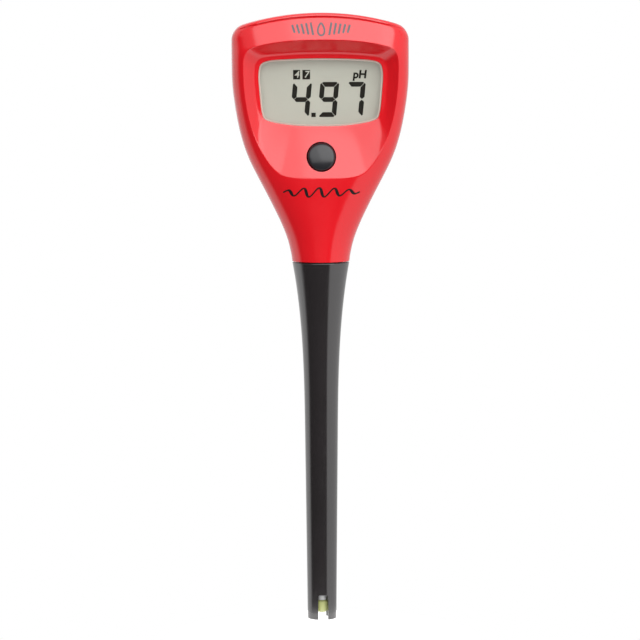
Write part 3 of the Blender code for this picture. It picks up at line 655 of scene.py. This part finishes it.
def inside_depth(x, z, depth_of, deepest):
    """How far the inside lies from the parting plane."""
    if z < SOCKET_TOP:
        return max(math.sqrt(max(SOCKET_BORE**2 - x * x, 0.0)), PARTING)
    level = min(level_through(x, z, 6), HEAD_TOP)
    power = smooth_value(ROUNDNESS_KNOTS, level)
    share = min(abs(x) / (half_width(level) - SHELL_WALL), 1.0)
    depth = (depth_of(level) - SHELL_WALL) * (1 - share**power) ** (1 / power)
    return max(min(depth, deepest(z)), PARTING)


def inside_rings(outer_edge, starts, side, depth_of, deepest):
    """Rings from the outer surface's edge over the parting plane and the hollow inside to the starts."""
    count = len(starts)
    edge = [inside_edge(i / (count - 1), side) for i in range(count)]
    top_count = round(CORNER_SHARE * (count - 1))
    parting = [Vector((p.x, side * PARTING, p.z)) if i <= top_count else p for i, p in enumerate(outer_edge)]
    rings = [parting, edge]
    for share in INSIDE_SHARES:
        ring = []
        for i, (x, z) in enumerate(starts):
            x, z = x + (edge[i].x - x) * share, z + (edge[i].z - z) * share
            ring.append(Vector((x, side * inside_depth(x, z, depth_of, deepest), z)))
        rings.append(ring)
    return rings


def shell_object(node, rings, look, bosses, holes):
    """A shell from its rings, joined to its bosses and cut by its holes."""
    mesh = rings_mesh([whole_loop(ring) for ring in rings], wrap=True)
    shell = skin(node, mesh, look, "head")
    apply_cuts(shell, bosses, "UNION", "MANIFOLD")
    apply_cuts(shell, holes, "DIFFERENCE", "MANIFOLD")
    shade(shell, 30)
    step = shell.modifiers.new("Even shading", "WEIGHTED_NORMAL")
    step.keep_sharp = True
    apply_modifiers(shell)


def bar(radius, start, end):
    """The profile of a plain round bar."""
    return [(0, start), (radius, start), (radius, end), (0, end)]


def rods(name, profile, places, steps=32):
    """Bosses or hole cutters turned about axes along Y through (x, z) places. Heights are world y."""
    return [cutter(f"{name}_{i}", turned_mesh(profile, steps), (x, 0, z), AXIS_BACK)
            for i, (x, z) in enumerate(places)]


def front_hollow(z):
    """The front shell's inside is no deeper than this from the parting plane, and deeper in the neck."""
    return 3.2 + 1.4 * max(0.0, 127 - z)


def rear_hollow(_):
    """The rear shell's inside follows its outside."""
    return math.inf


def make_front_shell():
    rim = spread(smooth_half(RECESS_HALF, 24), LOOP_HALF)
    window = spread(smooth_half(WINDOW_HALF, 24), LOOP_HALF)
    rim_y = [front_y(p.x, p.y) for p in rim]
    rings = [[Vector((p.x, FLOOR_Y + rise, p.y)) for p in window] for rise in (0.75, 0.3, 0.1, 0.03)]
    for share in shares_outwards(30):
        ring = []
        for i, (inner, outer) in enumerate(zip(window, rim)):
            place = share * (1 - LIP / 2 / (outer - inner).length)
            flat = inner.lerp(outer, place)
            rise = (rim_y[i] - FLOOR_Y) * recess_shape(place, i / (LOOP_HALF - 1))
            ring.append(Vector((flat.x, FLOOR_Y + rise, flat.y)))
        rings.append(ring)
    outside = outside_rings([(p.x, p.y) for p in rim], front_point, 56)
    lip_ring = [(before + after) * LIP_BLEND + Vector((p.x, y, p.y)) * (1 - 2 * LIP_BLEND)
                for before, after, p, y in zip(rings[-1], outside[0], rim, rim_y)]
    rings += [lip_ring] + outside
    rings += inside_rings(outside[-1], [(p.x, p.y) for p in window], -1, front_depth, front_hollow)
    post = [(0, 2.6), (1.9, 2.6), (2.1, 2.4), (2.1, -4.2), (0, -4.2)]
    bosses = rods("boss", bar(2.8, -0.25, -5.6), CASE_SCREWS) + rods("post", post, BOARD_SCREWS)
    pocket_y = -4.6
    button_hole = [(0, 1), (BUTTON_POCKET, 1), (BUTTON_POCKET, pocket_y), (BUTTON_HOLE, pocket_y),
                   (BUTTON_HOLE, -14), (0, -14)]
    holes = rods("button_hole", button_hole, [(0, BUTTON_Z)], 128)
    holes += rods("pilot", bar(1.1, 1, -4.9), CASE_SCREWS)
    shell_object("front_shell", rings, RED, bosses, holes)


def make_rear_shell():
    """The back with its raised land and stepped seat round the battery cover's opening."""
    turns = [math.pi * i / (LOOP_HALF - 1) for i in range(LOOP_HALF)]

    def round_cell(radius):
        """(x, z) points from the top to the bottom of a half circle about the cell's axis."""
        return [(radius * math.sin(turn), CELL_Z + radius * math.cos(turn)) for turn in turns]

    def half_ring(radius, y):
        return [Vector((x, y, z)) for x, z in round_cell(radius)]

    seat = rounded([(WELL_RADIUS, 5.2), (WELL_RADIUS, SEAT_Y), (SEAT_RADIUS, SEAT_Y),
                    (SEAT_RADIUS, HALF_DEPTH), (LAND_RADIUS, HALF_DEPTH), (LAND_RADIUS, 9.9)], 0.25)
    rings = [half_ring(radius, y) for radius, y in seat]
    outside = outside_rings(round_cell(LAND_RADIUS + 0.45), back_point, 48)
    foot = [Vector((p.x, after.y + 0.1, p.z))
            for p, after in zip(half_ring(LAND_RADIUS + 0.12, 0), outside[0])]
    rings[-1] = [Vector((p.x, min(p.y, after.y + 0.35), p.z)) for p, after in zip(rings[-1], outside[0])]
    rings += [foot] + outside
    rings += inside_rings(outside[-1], round_cell(WELL_RADIUS), 1, back_depth, rear_hollow)[:-1]
    rings += [half_ring(radius, y) for radius, y in ((14.4, 8.2), (14.4, 4.9), (WELL_RADIUS, 4.8))]
    seat_y, head_radius, shank_radius = SCREW_SEAT_Y - 0.05, 2.35, 1.4
    screw_hole = [(0, -1), (shank_radius, -1), (shank_radius, seat_y), (head_radius, seat_y),
                  (head_radius, 14), (0, 14)]
    shell_object("rear_shell", rings, RED_REAR, rods("boss", bar(2.9, 0.25, 5.9), CASE_SCREWS),
                 rods("screw_hole", screw_hole, CASE_SCREWS, 64))


def make_case_seal():
    """The cord between the shells, drawn out to close the whole parting gap."""
    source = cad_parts["case_seal"]
    mesh = source.data.copy()
    mesh.transform(source.matrix_world)
    for vertex in mesh.vertices:
        if vertex.co.y < PARTING * MM:
            vertex.co.y = -PARTING * MM
    skin("case_seal", mesh, RUBBER, "head")


# ---- display

DISPLAY_Y, INK_Y, MARK_Y = -1.5, -1.52, -1.54
LENS_LEVELS = ((1.55, -1.6), (1.7, -1.75), (1.7, -2.45), (1.55, -2.6), (-0.1, -2.6), (-0.1, -4.2),
               (-0.14, -4.3), (-0.42, -4.48), (-0.5, -4.5))
LENS_CHAMFER_Y, LENS_FLAT = -4.28, 0.95
SLANT = math.tan(math.radians(5.5))
DIGIT_FOOT, DIGIT_HEIGHT, DIGIT_WIDTH, STROKE = 144.45, 9.95, 5.4, 1.38
SEGMENT_GAP, SEGMENT_POINT, SEGMENT_START, SEGMENT_BULGE = 0.1, 0.6, 0.75, 0.25
DIGITS = ((-8.71, "fbgc"), (-0.95, "abcdfg"), (6.6, "abc"))
MARK_LOW, MARK_HIGH = 155.15, 157.85
BLOCKS = ((-2.6, -1.35, DIGIT_FOOT, DIGIT_FOOT + 1.25), (-7.75, -5.75, MARK_LOW, MARK_HIGH),
          (-5.1, -2.9, MARK_LOW, MARK_HIGH))


def grown(half, amount):
    """A closed outline moved outwards, as (x, z) pairs."""
    points = whole_loop(spread(smooth_half(half, 16), 121))
    count = len(points)
    moved = []
    for i, point in enumerate(points):
        along = (points[(i + 1) % count] - points[i - 1]).normalized()
        moved.append((point.x - along.y * amount, point.y + along.x * amount))
    return moved


def make_lens():
    """A clear plate with a flange behind the window's edge and a chamfer at its front, coloured pale cream
    as a painted highlight.
    """
    rings = [[(x, y, z) for x, z in grown(WINDOW_HALF, amount)] for amount, y in LENS_LEVELS]
    lens = skin("display_lens", rings_mesh(rings), CLEAR, "head")
    lens.data.materials.append(LENS_EDGE_HIGHLIGHT)
    for face in lens.data.polygons:
        # The chamfer faces get the pale cream painted highlight.
        chamfer = face.center.y < LENS_CHAMFER_Y * MM and abs(face.normal.y) < LENS_FLAT
        face.material_index = 1 if chamfer else 0
    shade(lens, 20)


def digit_shapes(left, lit):
    """The lit segments of a slanted seven-segment digit, as pointed bars."""
    half, middle = STROKE / 2, DIGIT_HEIGHT / 2

    def beside(shape):
        """The mirror image on the digit's other side."""
        return [(DIGIT_WIDTH - x, z) for x, z in reversed(shape)]

    def upended(shape):
        return [(x, DIGIT_HEIGHT - z) for x, z in reversed(shape)]

    foot = [(STROKE + SEGMENT_GAP / 2, STROKE), (SEGMENT_START - SEGMENT_BULGE, half / 2),
            (SEGMENT_START, 0.0)]
    foot += beside(foot)
    waist = [(SEGMENT_START + half, middle + half), (SEGMENT_START, middle),
             (SEGMENT_START + half, middle - half)]
    waist += beside(waist)
    start, end = middle + SEGMENT_GAP, DIGIT_HEIGHT - SEGMENT_GAP
    side = [(0.0, start + SEGMENT_POINT), (half, start), (STROKE, start + SEGMENT_POINT),
            (STROKE, end - STROKE), (0.3, end - 0.2), (0.0, end - 0.55)]
    shapes = {"a": upended(foot), "b": beside(side), "c": beside(upended(side)), "d": foot,
              "e": upended(side), "f": side, "g": waist}
    return [[(left + x + z * SLANT, DIGIT_FOOT + z) for x, z in shapes[name]] for name in lit]


def text_mesh(name, body, size, x, z, shear, weight):
    """Lettering for the readout, upright and centred on (x, z). weight thickens its strokes."""
    curve = bpy.data.curves.new(name, "FONT")
    curve.body = body
    curve.size = size * MM
    curve.shear = shear
    curve.offset = weight * MM
    curve.extrude = 0.01 * MM
    curve.align_x, curve.align_y = "CENTER", "CENTER"
    made = cutter(name, curve, (x, MARK_Y, z), AXIS_FRONT)
    mesh = evaluated_mesh(made)
    mesh.transform(made.matrix_world)
    bpy.data.objects.remove(made, do_unlink=True)
    mesh.materials.clear()
    return mesh


def make_display():
    make_lens()
    low, high = node_box("lcd_front_glass")
    plate = prism(rectangle(low.x, high.x, low.z, high.z), low.y, high.y)
    plate = skin("lcd_front_glass", plate, LCD_LOOK, "head")
    bevel(plate, 0.12)
    shapes = [shape for left, lit in DIGITS for shape in digit_shapes(left, lit)]
    shapes += [rectangle(*block) for block in BLOCKS]
    segments = joined([prism(shape, INK_Y, DISPLAY_Y) for shape in shapes])
    new_object("lcd_segments", segments, INK, "head", ())
    for name, body, size, x, z, shear, weight, look in (
            ("lcd_unit", "pH", 3.15, 11.15, 156.45, 0.12, 0.13, INK),
            ("lcd_mark_4", "4", 2.7, -6.75, 156.5, 0.2, 0.03, LCD_LOOK),
            ("lcd_mark_7", "7", 2.7, -4.0, 156.5, 0.2, 0.03, LCD_LOOK)):
        new_object(name, text_mesh(name, body, size, x, z, shear, weight), look, "head", ())


# ---- button

CAP_EDGE, CAP_SHRINK = 0.45, 0.97
CAP_SHARES = (0.86, 0.8, 0.72, 0.62, 0.52, 0.4, 0.28, 0.16, 0.05)


def make_button():
    """A flanged stem under a domed cap. The dome leans back, as the sloping floor round it does."""
    steps = 96
    crest = DOME_APEX - math.sqrt(DOME_RADIUS**2 - DOME_DROP**2)

    def dome(x, z):
        return -crest - math.sqrt(DOME_RADIUS**2 - x * x - (z + DOME_DROP) ** 2)

    def dome_ring(radius, drop):
        return [(x, dome(x * CAP_SHRINK, z * CAP_SHRINK) + drop, BUTTON_Z + z)
                for x, z in circle(radius, steps)]

    stem = rounded([(1.6, -1.65), (1.6, -2.5), (5.1, -2.5), (5.1, -3.7), (BUTTON_RADIUS, -3.7),
                    (BUTTON_RADIUS, -5)], 0.12, 2)
    rings = [[(x, y, BUTTON_Z + z) for x, z in circle(radius, steps)] for radius, y in stem]
    for k in range(5):
        inwards, upwards = polar(CAP_EDGE, math.pi / 2 * k / 5)
        rings.append(dome_ring(BUTTON_RADIUS - CAP_EDGE + inwards, CAP_EDGE - upwards))
    rings += [dome_ring(BUTTON_RADIUS * share, 0.0) for share in CAP_SHARES]
    shade(skin("power_button", rings_mesh(rings), BUTTON, "button"), 40)


# ---- battery cover and screws

def sector_mesh(inner, outer, start, end, low, high, rise, steps=12):
    """A piece of a ring about Z whose floor and roof rise with the angle."""
    rings = []
    for i in range(steps + 1):
        share = i / steps
        angle = math.radians(start + (end - start) * share)
        lift = rise * (share - 0.5)
        rings.append([(*polar(r, angle), h + lift)
                      for r, h in ((inner, low), (outer, low), (outer, high), (inner, high))])
    return rings_mesh(rings)


def stadium_mesh(half, radius, low, high, steps=12):
    """A bar with round ends along X, between two heights."""
    outline = []
    for side in (1, -1):
        for k in range(steps + 1):
            x, y = polar(radius, math.pi * (k / steps - 0.5))
            outline.append((side * (half - radius + x), side * y))
    return rings_mesh([[(x, y, h) for x, y in outline] for h in (low, high)])


def make_battery_cover():
    """A disc with a sunk middle, a coin slot, a spigot and three sloping lugs, laid along Y."""
    low, high = COVER_Y
    sunk, spigot_end = high - 0.3, 5.5
    profile = rounded([(0, sunk), (10.2, sunk), (10.5, high), (COVER_RADIUS, high), (COVER_RADIUS, low),
                       (11.2, low), (11.2, spigot_end), (10.4, spigot_end), (10.4, low - 0.3),
                       (0, low - 0.3)], 0.28)
    cover = skin("battery_cover", turned_mesh(profile, 144), RED_REAR, "cover")
    apply_cuts(cover, [cutter("coin_slot", stadium_mesh(6.5, 0.9, high - 0.9, high + 1))])
    lugs = [sector_mesh(10.9, 12.35, 120 * i - 29.5, 120 * i - 0.5, 5.15, 6.0, 0.79)
            for i in range(3)]
    cover.data = joined([cover.data] + lugs)
    cover.data.materials.append(RED_REAR)
    cover.location = (0, 0, CELL_Z * MM)
    cover.rotation_euler = AXIS_BACK
    bevel(cover, 0.12, 40)
    shade(cover, 35)


SCREW_ROOT, SCREW_CREST, SCREW_PITCH = 0.85, 1.1, 0.7
ARM_LENGTH, ARM_WIDTH = 1.2, 0.24


def make_screws():
    """Pan-head screws with a cross recess, from one mesh."""
    profile = rounded([(0, 1.25), (1.1, 1.2), (1.95, 0.85), (1.95, 0), (SCREW_CREST, 0),
                       (SCREW_CREST, -0.6)], 0.2, 3)
    for k in range(10):
        z = -0.6 - SCREW_PITCH * k
        profile += [(SCREW_ROOT, z - 0.15), (SCREW_CREST, z - 0.4), (SCREW_ROOT, z - 0.65)]
    profile += [(0.5, -7.9), (0, -8.4)]
    source = cutter("screw_source", turned_mesh(profile, 48))
    arms = []
    for a, b in ((ARM_LENGTH, ARM_WIDTH), (ARM_WIDTH, ARM_LENGTH)):
        rings = [[(x * a * grow, y * b * grow, h) for x, y in ((-1, -1), (1, -1), (1, 1), (-1, 1))]
                 for grow, h in ((0.55, 0.25), (1.0, 1.0), (1.0, 2.0))]
        arms.append(cutter("arm", rings_mesh(rings)))
    apply_cuts(source, arms)
    mesh = source.data
    shade(source, 35)
    bpy.data.objects.remove(source, do_unlink=True)
    mesh.materials.clear()
    mesh.materials.append(STEEL)
    for i, (x, z) in enumerate(CASE_SCREWS, 1):
        screw = skin(f"case_screw_{i}", mesh, None, "head")
        screw.location = Vector((x, SCREW_SEAT_Y, z)) * MM
        screw.rotation_euler = AXIS_BACK


# ---- electrode

TIP_RADIUS, TAPER, FLARE, FLARE_LENGTH = 4.14, 0.0108, 2.9, 50.0
BORE_RADIUS, SLOT_WIDTH, SLOT_HEIGHT, SLOT_TURN = 3.0, 2.9, 7.1, math.radians(3)
SLOT_CORNER = 0.5
THREAD_CREST, THREAD_START, THREAD_TURNS, THREAD_PITCH = 4.65, 105.3, 2.5, 1.5


def probe_radius(z):
    return TIP_RADIUS + TAPER * z + FLARE * max(0.0, 1 - (PROBE_TOP - z) / FLARE_LENGTH) ** 3


def thread_mesh(root, steps=48, fade_steps=12):
    """A screw ridge that fades in and out at its ends."""
    rings = []
    count = round(THREAD_TURNS * steps)
    for i in range(count + 1):
        z = THREAD_START + THREAD_PITCH * i / steps
        fade = min(1.0, i / fade_steps, (count - i) / fade_steps)
        tip = root + (THREAD_CREST - root) * max(fade, 0.1)
        rings.append([(*polar(r, 2 * math.pi * i / steps), z + h)
                      for r, h in ((root, -0.5), (tip, -0.18), (tip, 0.18), (root, 0.5))])
    return rings_mesh(rings)


def slot_cutter():
    """A bar with a rounded top, through both walls of the tip."""
    half, spring = SLOT_WIDTH / 2, SLOT_HEIGHT - SLOT_CORNER
    arch = [(-half, -1), (half, -1), (half, spring)]
    for k in range(1, 7):
        x, z = polar(SLOT_CORNER, math.pi / 2 * k / 6)
        arch.append((half - SLOT_CORNER + x, spring + z))
    arch += [(-x, z) for x, z in arch[:1:-1]]
    return cutter("tip_slot", prism(arch, -8, 8), turn=(0, 0, SLOT_TURN))


def make_electrode():
    """The body has its levels even along the taper, with a few more just above the slot."""
    top, plug_top = PROBE_TOP - 0.05, 110
    levels = [top - 0.4 - k * (top - 2.4) / 60 for k in range(61)]
    levels += [SLOT_HEIGHT + rise for rise in (0.15, 0.3, 0.7)]
    plug = [(2.9, 107.4), (2.9, plug_top), (3.7, plug_top), (3.9, 109.6), (3.9, top + 1.4),
            (4.4, top + 1.25, 0.05), (4.4, top, 0.05), (probe_radius(top), top, 0.3)]
    taper = [(probe_radius(z), z, 0) for z in sorted(levels, reverse=True)]
    bore = [(TIP_RADIUS, 0, 0.22), (BORE_RADIUS, 0, 0.15), (BORE_RADIUS, 96), (1.4, 97.6), (1.4, 107.4)]
    profile = rounded(plug + taper + bore, 0.15, 3)
    body = skin("electrode_body", turned_mesh(profile, 144, True), DARK, "electrode")
    apply_cuts(body, [slot_cutter()])
    bevel(body, 0.09, 50)
    body.data = joined([body.data, thread_mesh(3.7)])
    body.data.materials.append(DARK)
    shade(body, 40)
    stem = rounded([(1.25, 92), (1.25, 5.3), (1.0, 5.3), (1.0, 92)], 0.05, 2)
    stem_mesh = turned_mesh(stem, 48, True)
    shade(skin("glass_stem", stem_mesh, STEM_GLASS, "electrode"), 40)
    outside = rounded([(0, 1.65), (1.1, 1.7), (1.8, 2.4), (1.85, 3.6), (1.8, 4.7), (1.3, 5.2),
                       (1.1, 5.28, 0)], 0.9, 8)
    inside = rounded([(1.0, 5.28), (1.1, 4.8), (1.5, 4.4), (1.55, 3.6), (1.5, 2.6), (0.9, 2.0), (0, 1.95)],
                     0.6, 6)
    bulb_mesh = turned_mesh(outside + inside, 64)
    shade(skin("sensing_bulb", bulb_mesh, BULB_GLASS, "electrode"), 60)


# ---- printed marks

def ribbon_mesh(path, widths, depth=0.03):
    """A thin printed stroke on the display side, along a path of (x, z) points."""
    rings = []
    count = len(path)
    for i, (x, z) in enumerate(path):
        before, after = path[max(i - 1, 0)], path[min(i + 1, count - 1)]
        along = Vector((after[0] - before[0], after[1] - before[1])).normalized()
        across = Vector((-along.y, along.x)) * widths[i] / 2
        sides = [(x + across.x * k, z + across.y * k) for k in (-1, 1)]
        ring = [(px, front_y(px, pz) - 0.012, pz) for px, pz in sides]
        ring += [(px, front_y(px, pz) + depth, pz) for px, pz in reversed(sides)]
        rings.append(ring)
    return rings_mesh(rings)


BAR_START, BAR_STEP, BAR_HALF, BAR_SHORTER, BAR_LEAN, BAR_WIDTH = 2.6, 1.3, 1.75, 0.16, 0.35, 0.58
DROP_RADIUS, DROP_HALF, DROP_SHARPNESS, DROP_WIDTH = 1.15, 1.75, 0.35, 0.5
LINE_START, LINE_LENGTH, LINE_LEVEL, LINE_SWING, LINE_LEAN = -10.9, 21.8, 123.4, 1.5, 0.3
LINE_THIN, LINE_SWELL = 0.42, 0.46


def make_marks():
    """Two plain decorations: slim bars beside a drop on the band, and a swung line below the recess."""
    strokes = []
    for side in (-1, 1):
        for k in range(5):
            x, half = side * (BAR_START + BAR_STEP * k), BAR_HALF - BAR_SHORTER * k
            path = [(x + side * BAR_LEAN * t, 169.5 + half * t) for t in (i / 4 - 1 for i in range(9))]
            strokes.append(ribbon_mesh(path, [BAR_WIDTH] * 9))
    drop = []
    for k in range(33):
        across, up = math.sin(2 * math.pi * k / 32), math.cos(2 * math.pi * k / 32)
        drop.append((DROP_RADIUS * across * ((1 - up) / 2) ** DROP_SHARPNESS, 169.4 + DROP_HALF * up))
    strokes.append(ribbon_mesh(drop, [DROP_WIDTH] * 33))
    new_object("band_decoration", joined(strokes), PRINT_GREY, "head", ())
    path, widths = [], []
    for k in range(321):
        share = k / 320
        turn = 10 * math.pi * share
        lift = LINE_SWING * math.sqrt(math.sin(math.pi * share)) * (1 - 0.3 * share) * math.sin(turn)
        path.append((LINE_START + LINE_LENGTH * share + LINE_LEAN * lift, LINE_LEVEL + lift))
        widths.append(LINE_THIN + LINE_SWELL * max(0.0, -math.cos(turn)))
    line = ribbon_mesh(path, widths)
    new_object("neck_decoration", line, PRINT_BLACK, "head", ())


# ---- looks of the CAD nodes that stay

def dress_cad_nodes():
    looks = (
        (RUBBER, "lens_gasket button_seal battery_cover_seal electrode_seal lower_seal upper_plug"),
        (RUBBER, "reference_lead"),
        (WHITE, "lcd_frame socket_insulator signal_wire contact_insulator"),
        (STEEL, "crystal board_screw_1 board_screw_2 battery_cell"),
        (BRASS, "battery_spring battery_clip contact_pin contact_ring"),
        (BRASS, "socket_pin_contact socket_ring_contact"),
        (CHIP, "microcontroller tact_switch switch_plunger"),
        (CERAMIC, "capacitor_1 capacitor_2 capacitor_3 capacitor_4 reference_junction"),
        (ZEBRA, "zebra_strip_upper zebra_strip_lower"),
        (SILVER, "inner_wire reference_wire"),
        (LCD_LOOK, "lcd_rear_glass"),
        (BOARD, "main_board"),
        (DARK, "electrode_socket"),
    )
    for look, names in looks:
        for name in names.split():
            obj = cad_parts[name]
            if not obj.material_slots:
                obj.data.materials.append(look)
            for place in obj.material_slots:
                place.material = look


# ---- light, floor and camera

CAMERA_AIM = (-0.30, 0.0, 86.33)
CAMERA_ROLL = -0.21
CAMERA_DISTANCE, CAMERA_LENS = 944.0, 185.3
CAMERA_ELEVATION, CAMERA_AZIMUTH = 5.3, -2.0
LIGHT_AIM = (0, 0, 0.14)
FLOOR_RADIUS, FLOOR_LEVELS = 45.0, (-12, -6)
WORLD_BASE = 0.03
WORLD_MASKS = (("right", 34, 39, 0.8), ("left", 80, 104, 1.0), ("up", 18, 26, 0.5), ("down", 34, 52, 1.2))


def direction(azimuth, elevation):
    """A unit vector: azimuth 0 looks from the display side, positive towards +X."""
    a, e = math.radians(azimuth), math.radians(elevation)
    return Vector((math.sin(a) * math.cos(e), -math.cos(a) * math.cos(e), math.sin(e)))


def make_camera():
    data = bpy.data.cameras.new("camera")
    data.lens, data.sensor_width = CAMERA_LENS, 36.0
    data.clip_start, data.clip_end = 0.01, 20
    camera = linked("camera", data)
    back = direction(CAMERA_AZIMUTH, CAMERA_ELEVATION)
    camera.location = (Vector(CAMERA_AIM) + back * CAMERA_DISTANCE) * MM
    roll = Quaternion((0, 0, 1), math.radians(CAMERA_ROLL))
    camera.rotation_euler = ((-back).to_track_quat("-Z", "Y") @ roll).to_euler()
    bpy.context.scene.camera = camera


def softbox(name, azimuth, elevation, distance, size, radiance):
    """A rectangular light that faces the head, in metres. Its power follows from radiance and area."""
    data = bpy.data.lights.new(name, "AREA")
    data.shape = "RECTANGLE"
    data.size, data.size_y = size
    data.energy = radiance * math.pi * size[0] * size[1]
    light = linked(name, data)
    back = direction(azimuth, elevation)
    light.location = Vector(LIGHT_AIM) + back * distance
    light.rotation_euler = (-back).to_track_quat("-Z", "Y").to_euler()
    light.visible_camera = False
    return light


def smooth_mask(tree, source, start, end, strength):
    """A smooth step from 0 to strength as an angle goes from start to end, in degrees."""
    made = add_node(tree, "ShaderNodeMapRange",
                    {"From Min": math.radians(start), "From Max": math.radians(end), "To Max": strength},
                    interpolation_type="SMOOTHSTEP", clamp=True)
    tree.links.new(source, made.inputs["Value"])
    return made.outputs["Result"]


def maths(tree, operation, *values):
    made = add_node(tree, "ShaderNodeMath", operation=operation)
    for i, value in enumerate(values):
        if isinstance(value, float):
            made.inputs[i].default_value = value
        else:
            tree.links.new(value, made.inputs[i])
    return made.outputs["Value"]


def make_world():
    """White paper to the camera. To everything else, pale beyond the WORLD_MASKS angles and nearly
    black in the gap between them, which lies behind the camera."""
    world = bpy.data.worlds.new("studio")
    world.use_nodes = True
    bpy.context.scene.world = world
    tree = world.node_tree
    split = add_node(tree, "ShaderNodeSeparateXYZ")
    tree.links.new(add_node(tree, "ShaderNodeTexCoord").outputs["Generated"], split.inputs["Vector"])
    x, y, z = (split.outputs[axis] for axis in "XYZ")
    azimuth = maths(tree, "ARCTAN2", x, maths(tree, "MULTIPLY", y, -1.0))
    elevation = maths(tree, "ARCSINE", z)
    angles = {"right": azimuth, "left": maths(tree, "MULTIPLY", azimuth, -1.0),
              "up": elevation, "down": maths(tree, "MULTIPLY", elevation, -1.0)}
    level = WORLD_BASE
    for side, start, end, strength in WORLD_MASKS:
        mask = smooth_mask(tree, angles[side], start, end, strength)
        level = maths(tree, "MAXIMUM", mask, level)
    seen = add_node(tree, "ShaderNodeLightPath").outputs["Is Camera Ray"]
    paper = tree.nodes["Background"]
    set_inputs(paper, {"Color": (1, 1, 1)})
    tree.links.new(maths(tree, "MAXIMUM", seen, level), paper.inputs["Strength"])


def make_stage():
    """A small white disc under the tip, the world and three lamps. The fill only reaches matt surfaces."""
    mesh = rings_mesh([[(x, y, z) for x, y in circle(FLOOR_RADIUS, 96)] for z in FLOOR_LEVELS])
    look, _, shader = bare_material("floor_white")
    set_inputs(shader, {"Base Color": (0.8, 0.8, 0.8), "Roughness": 0.9, "Specular IOR Level": 0.0,
                        "Emission Color": (1, 1, 1), "Emission Strength": 0.5})
    floor = new_object("floor", mesh, look, None)
    make_world()
    softbox("overhead", 10, 42, 1.6, (2.8, 1.9), 1.75)
    softbox("side", 28, 42, 1.5, (1.5, 1.6), 0.9)
    fill = softbox("fill", 0, 0, 1.5, (1.2, 1.0), 2.0)
    fill.visible_glossy = False
    bpy.context.scene.view_settings.view_transform = "Standard"


make_front_shell()
make_rear_shell()
make_case_seal()
make_display()
make_button()
make_battery_cover()
make_screws()
make_electrode()
make_marks()
dress_cad_nodes()
make_camera()
make_stage()
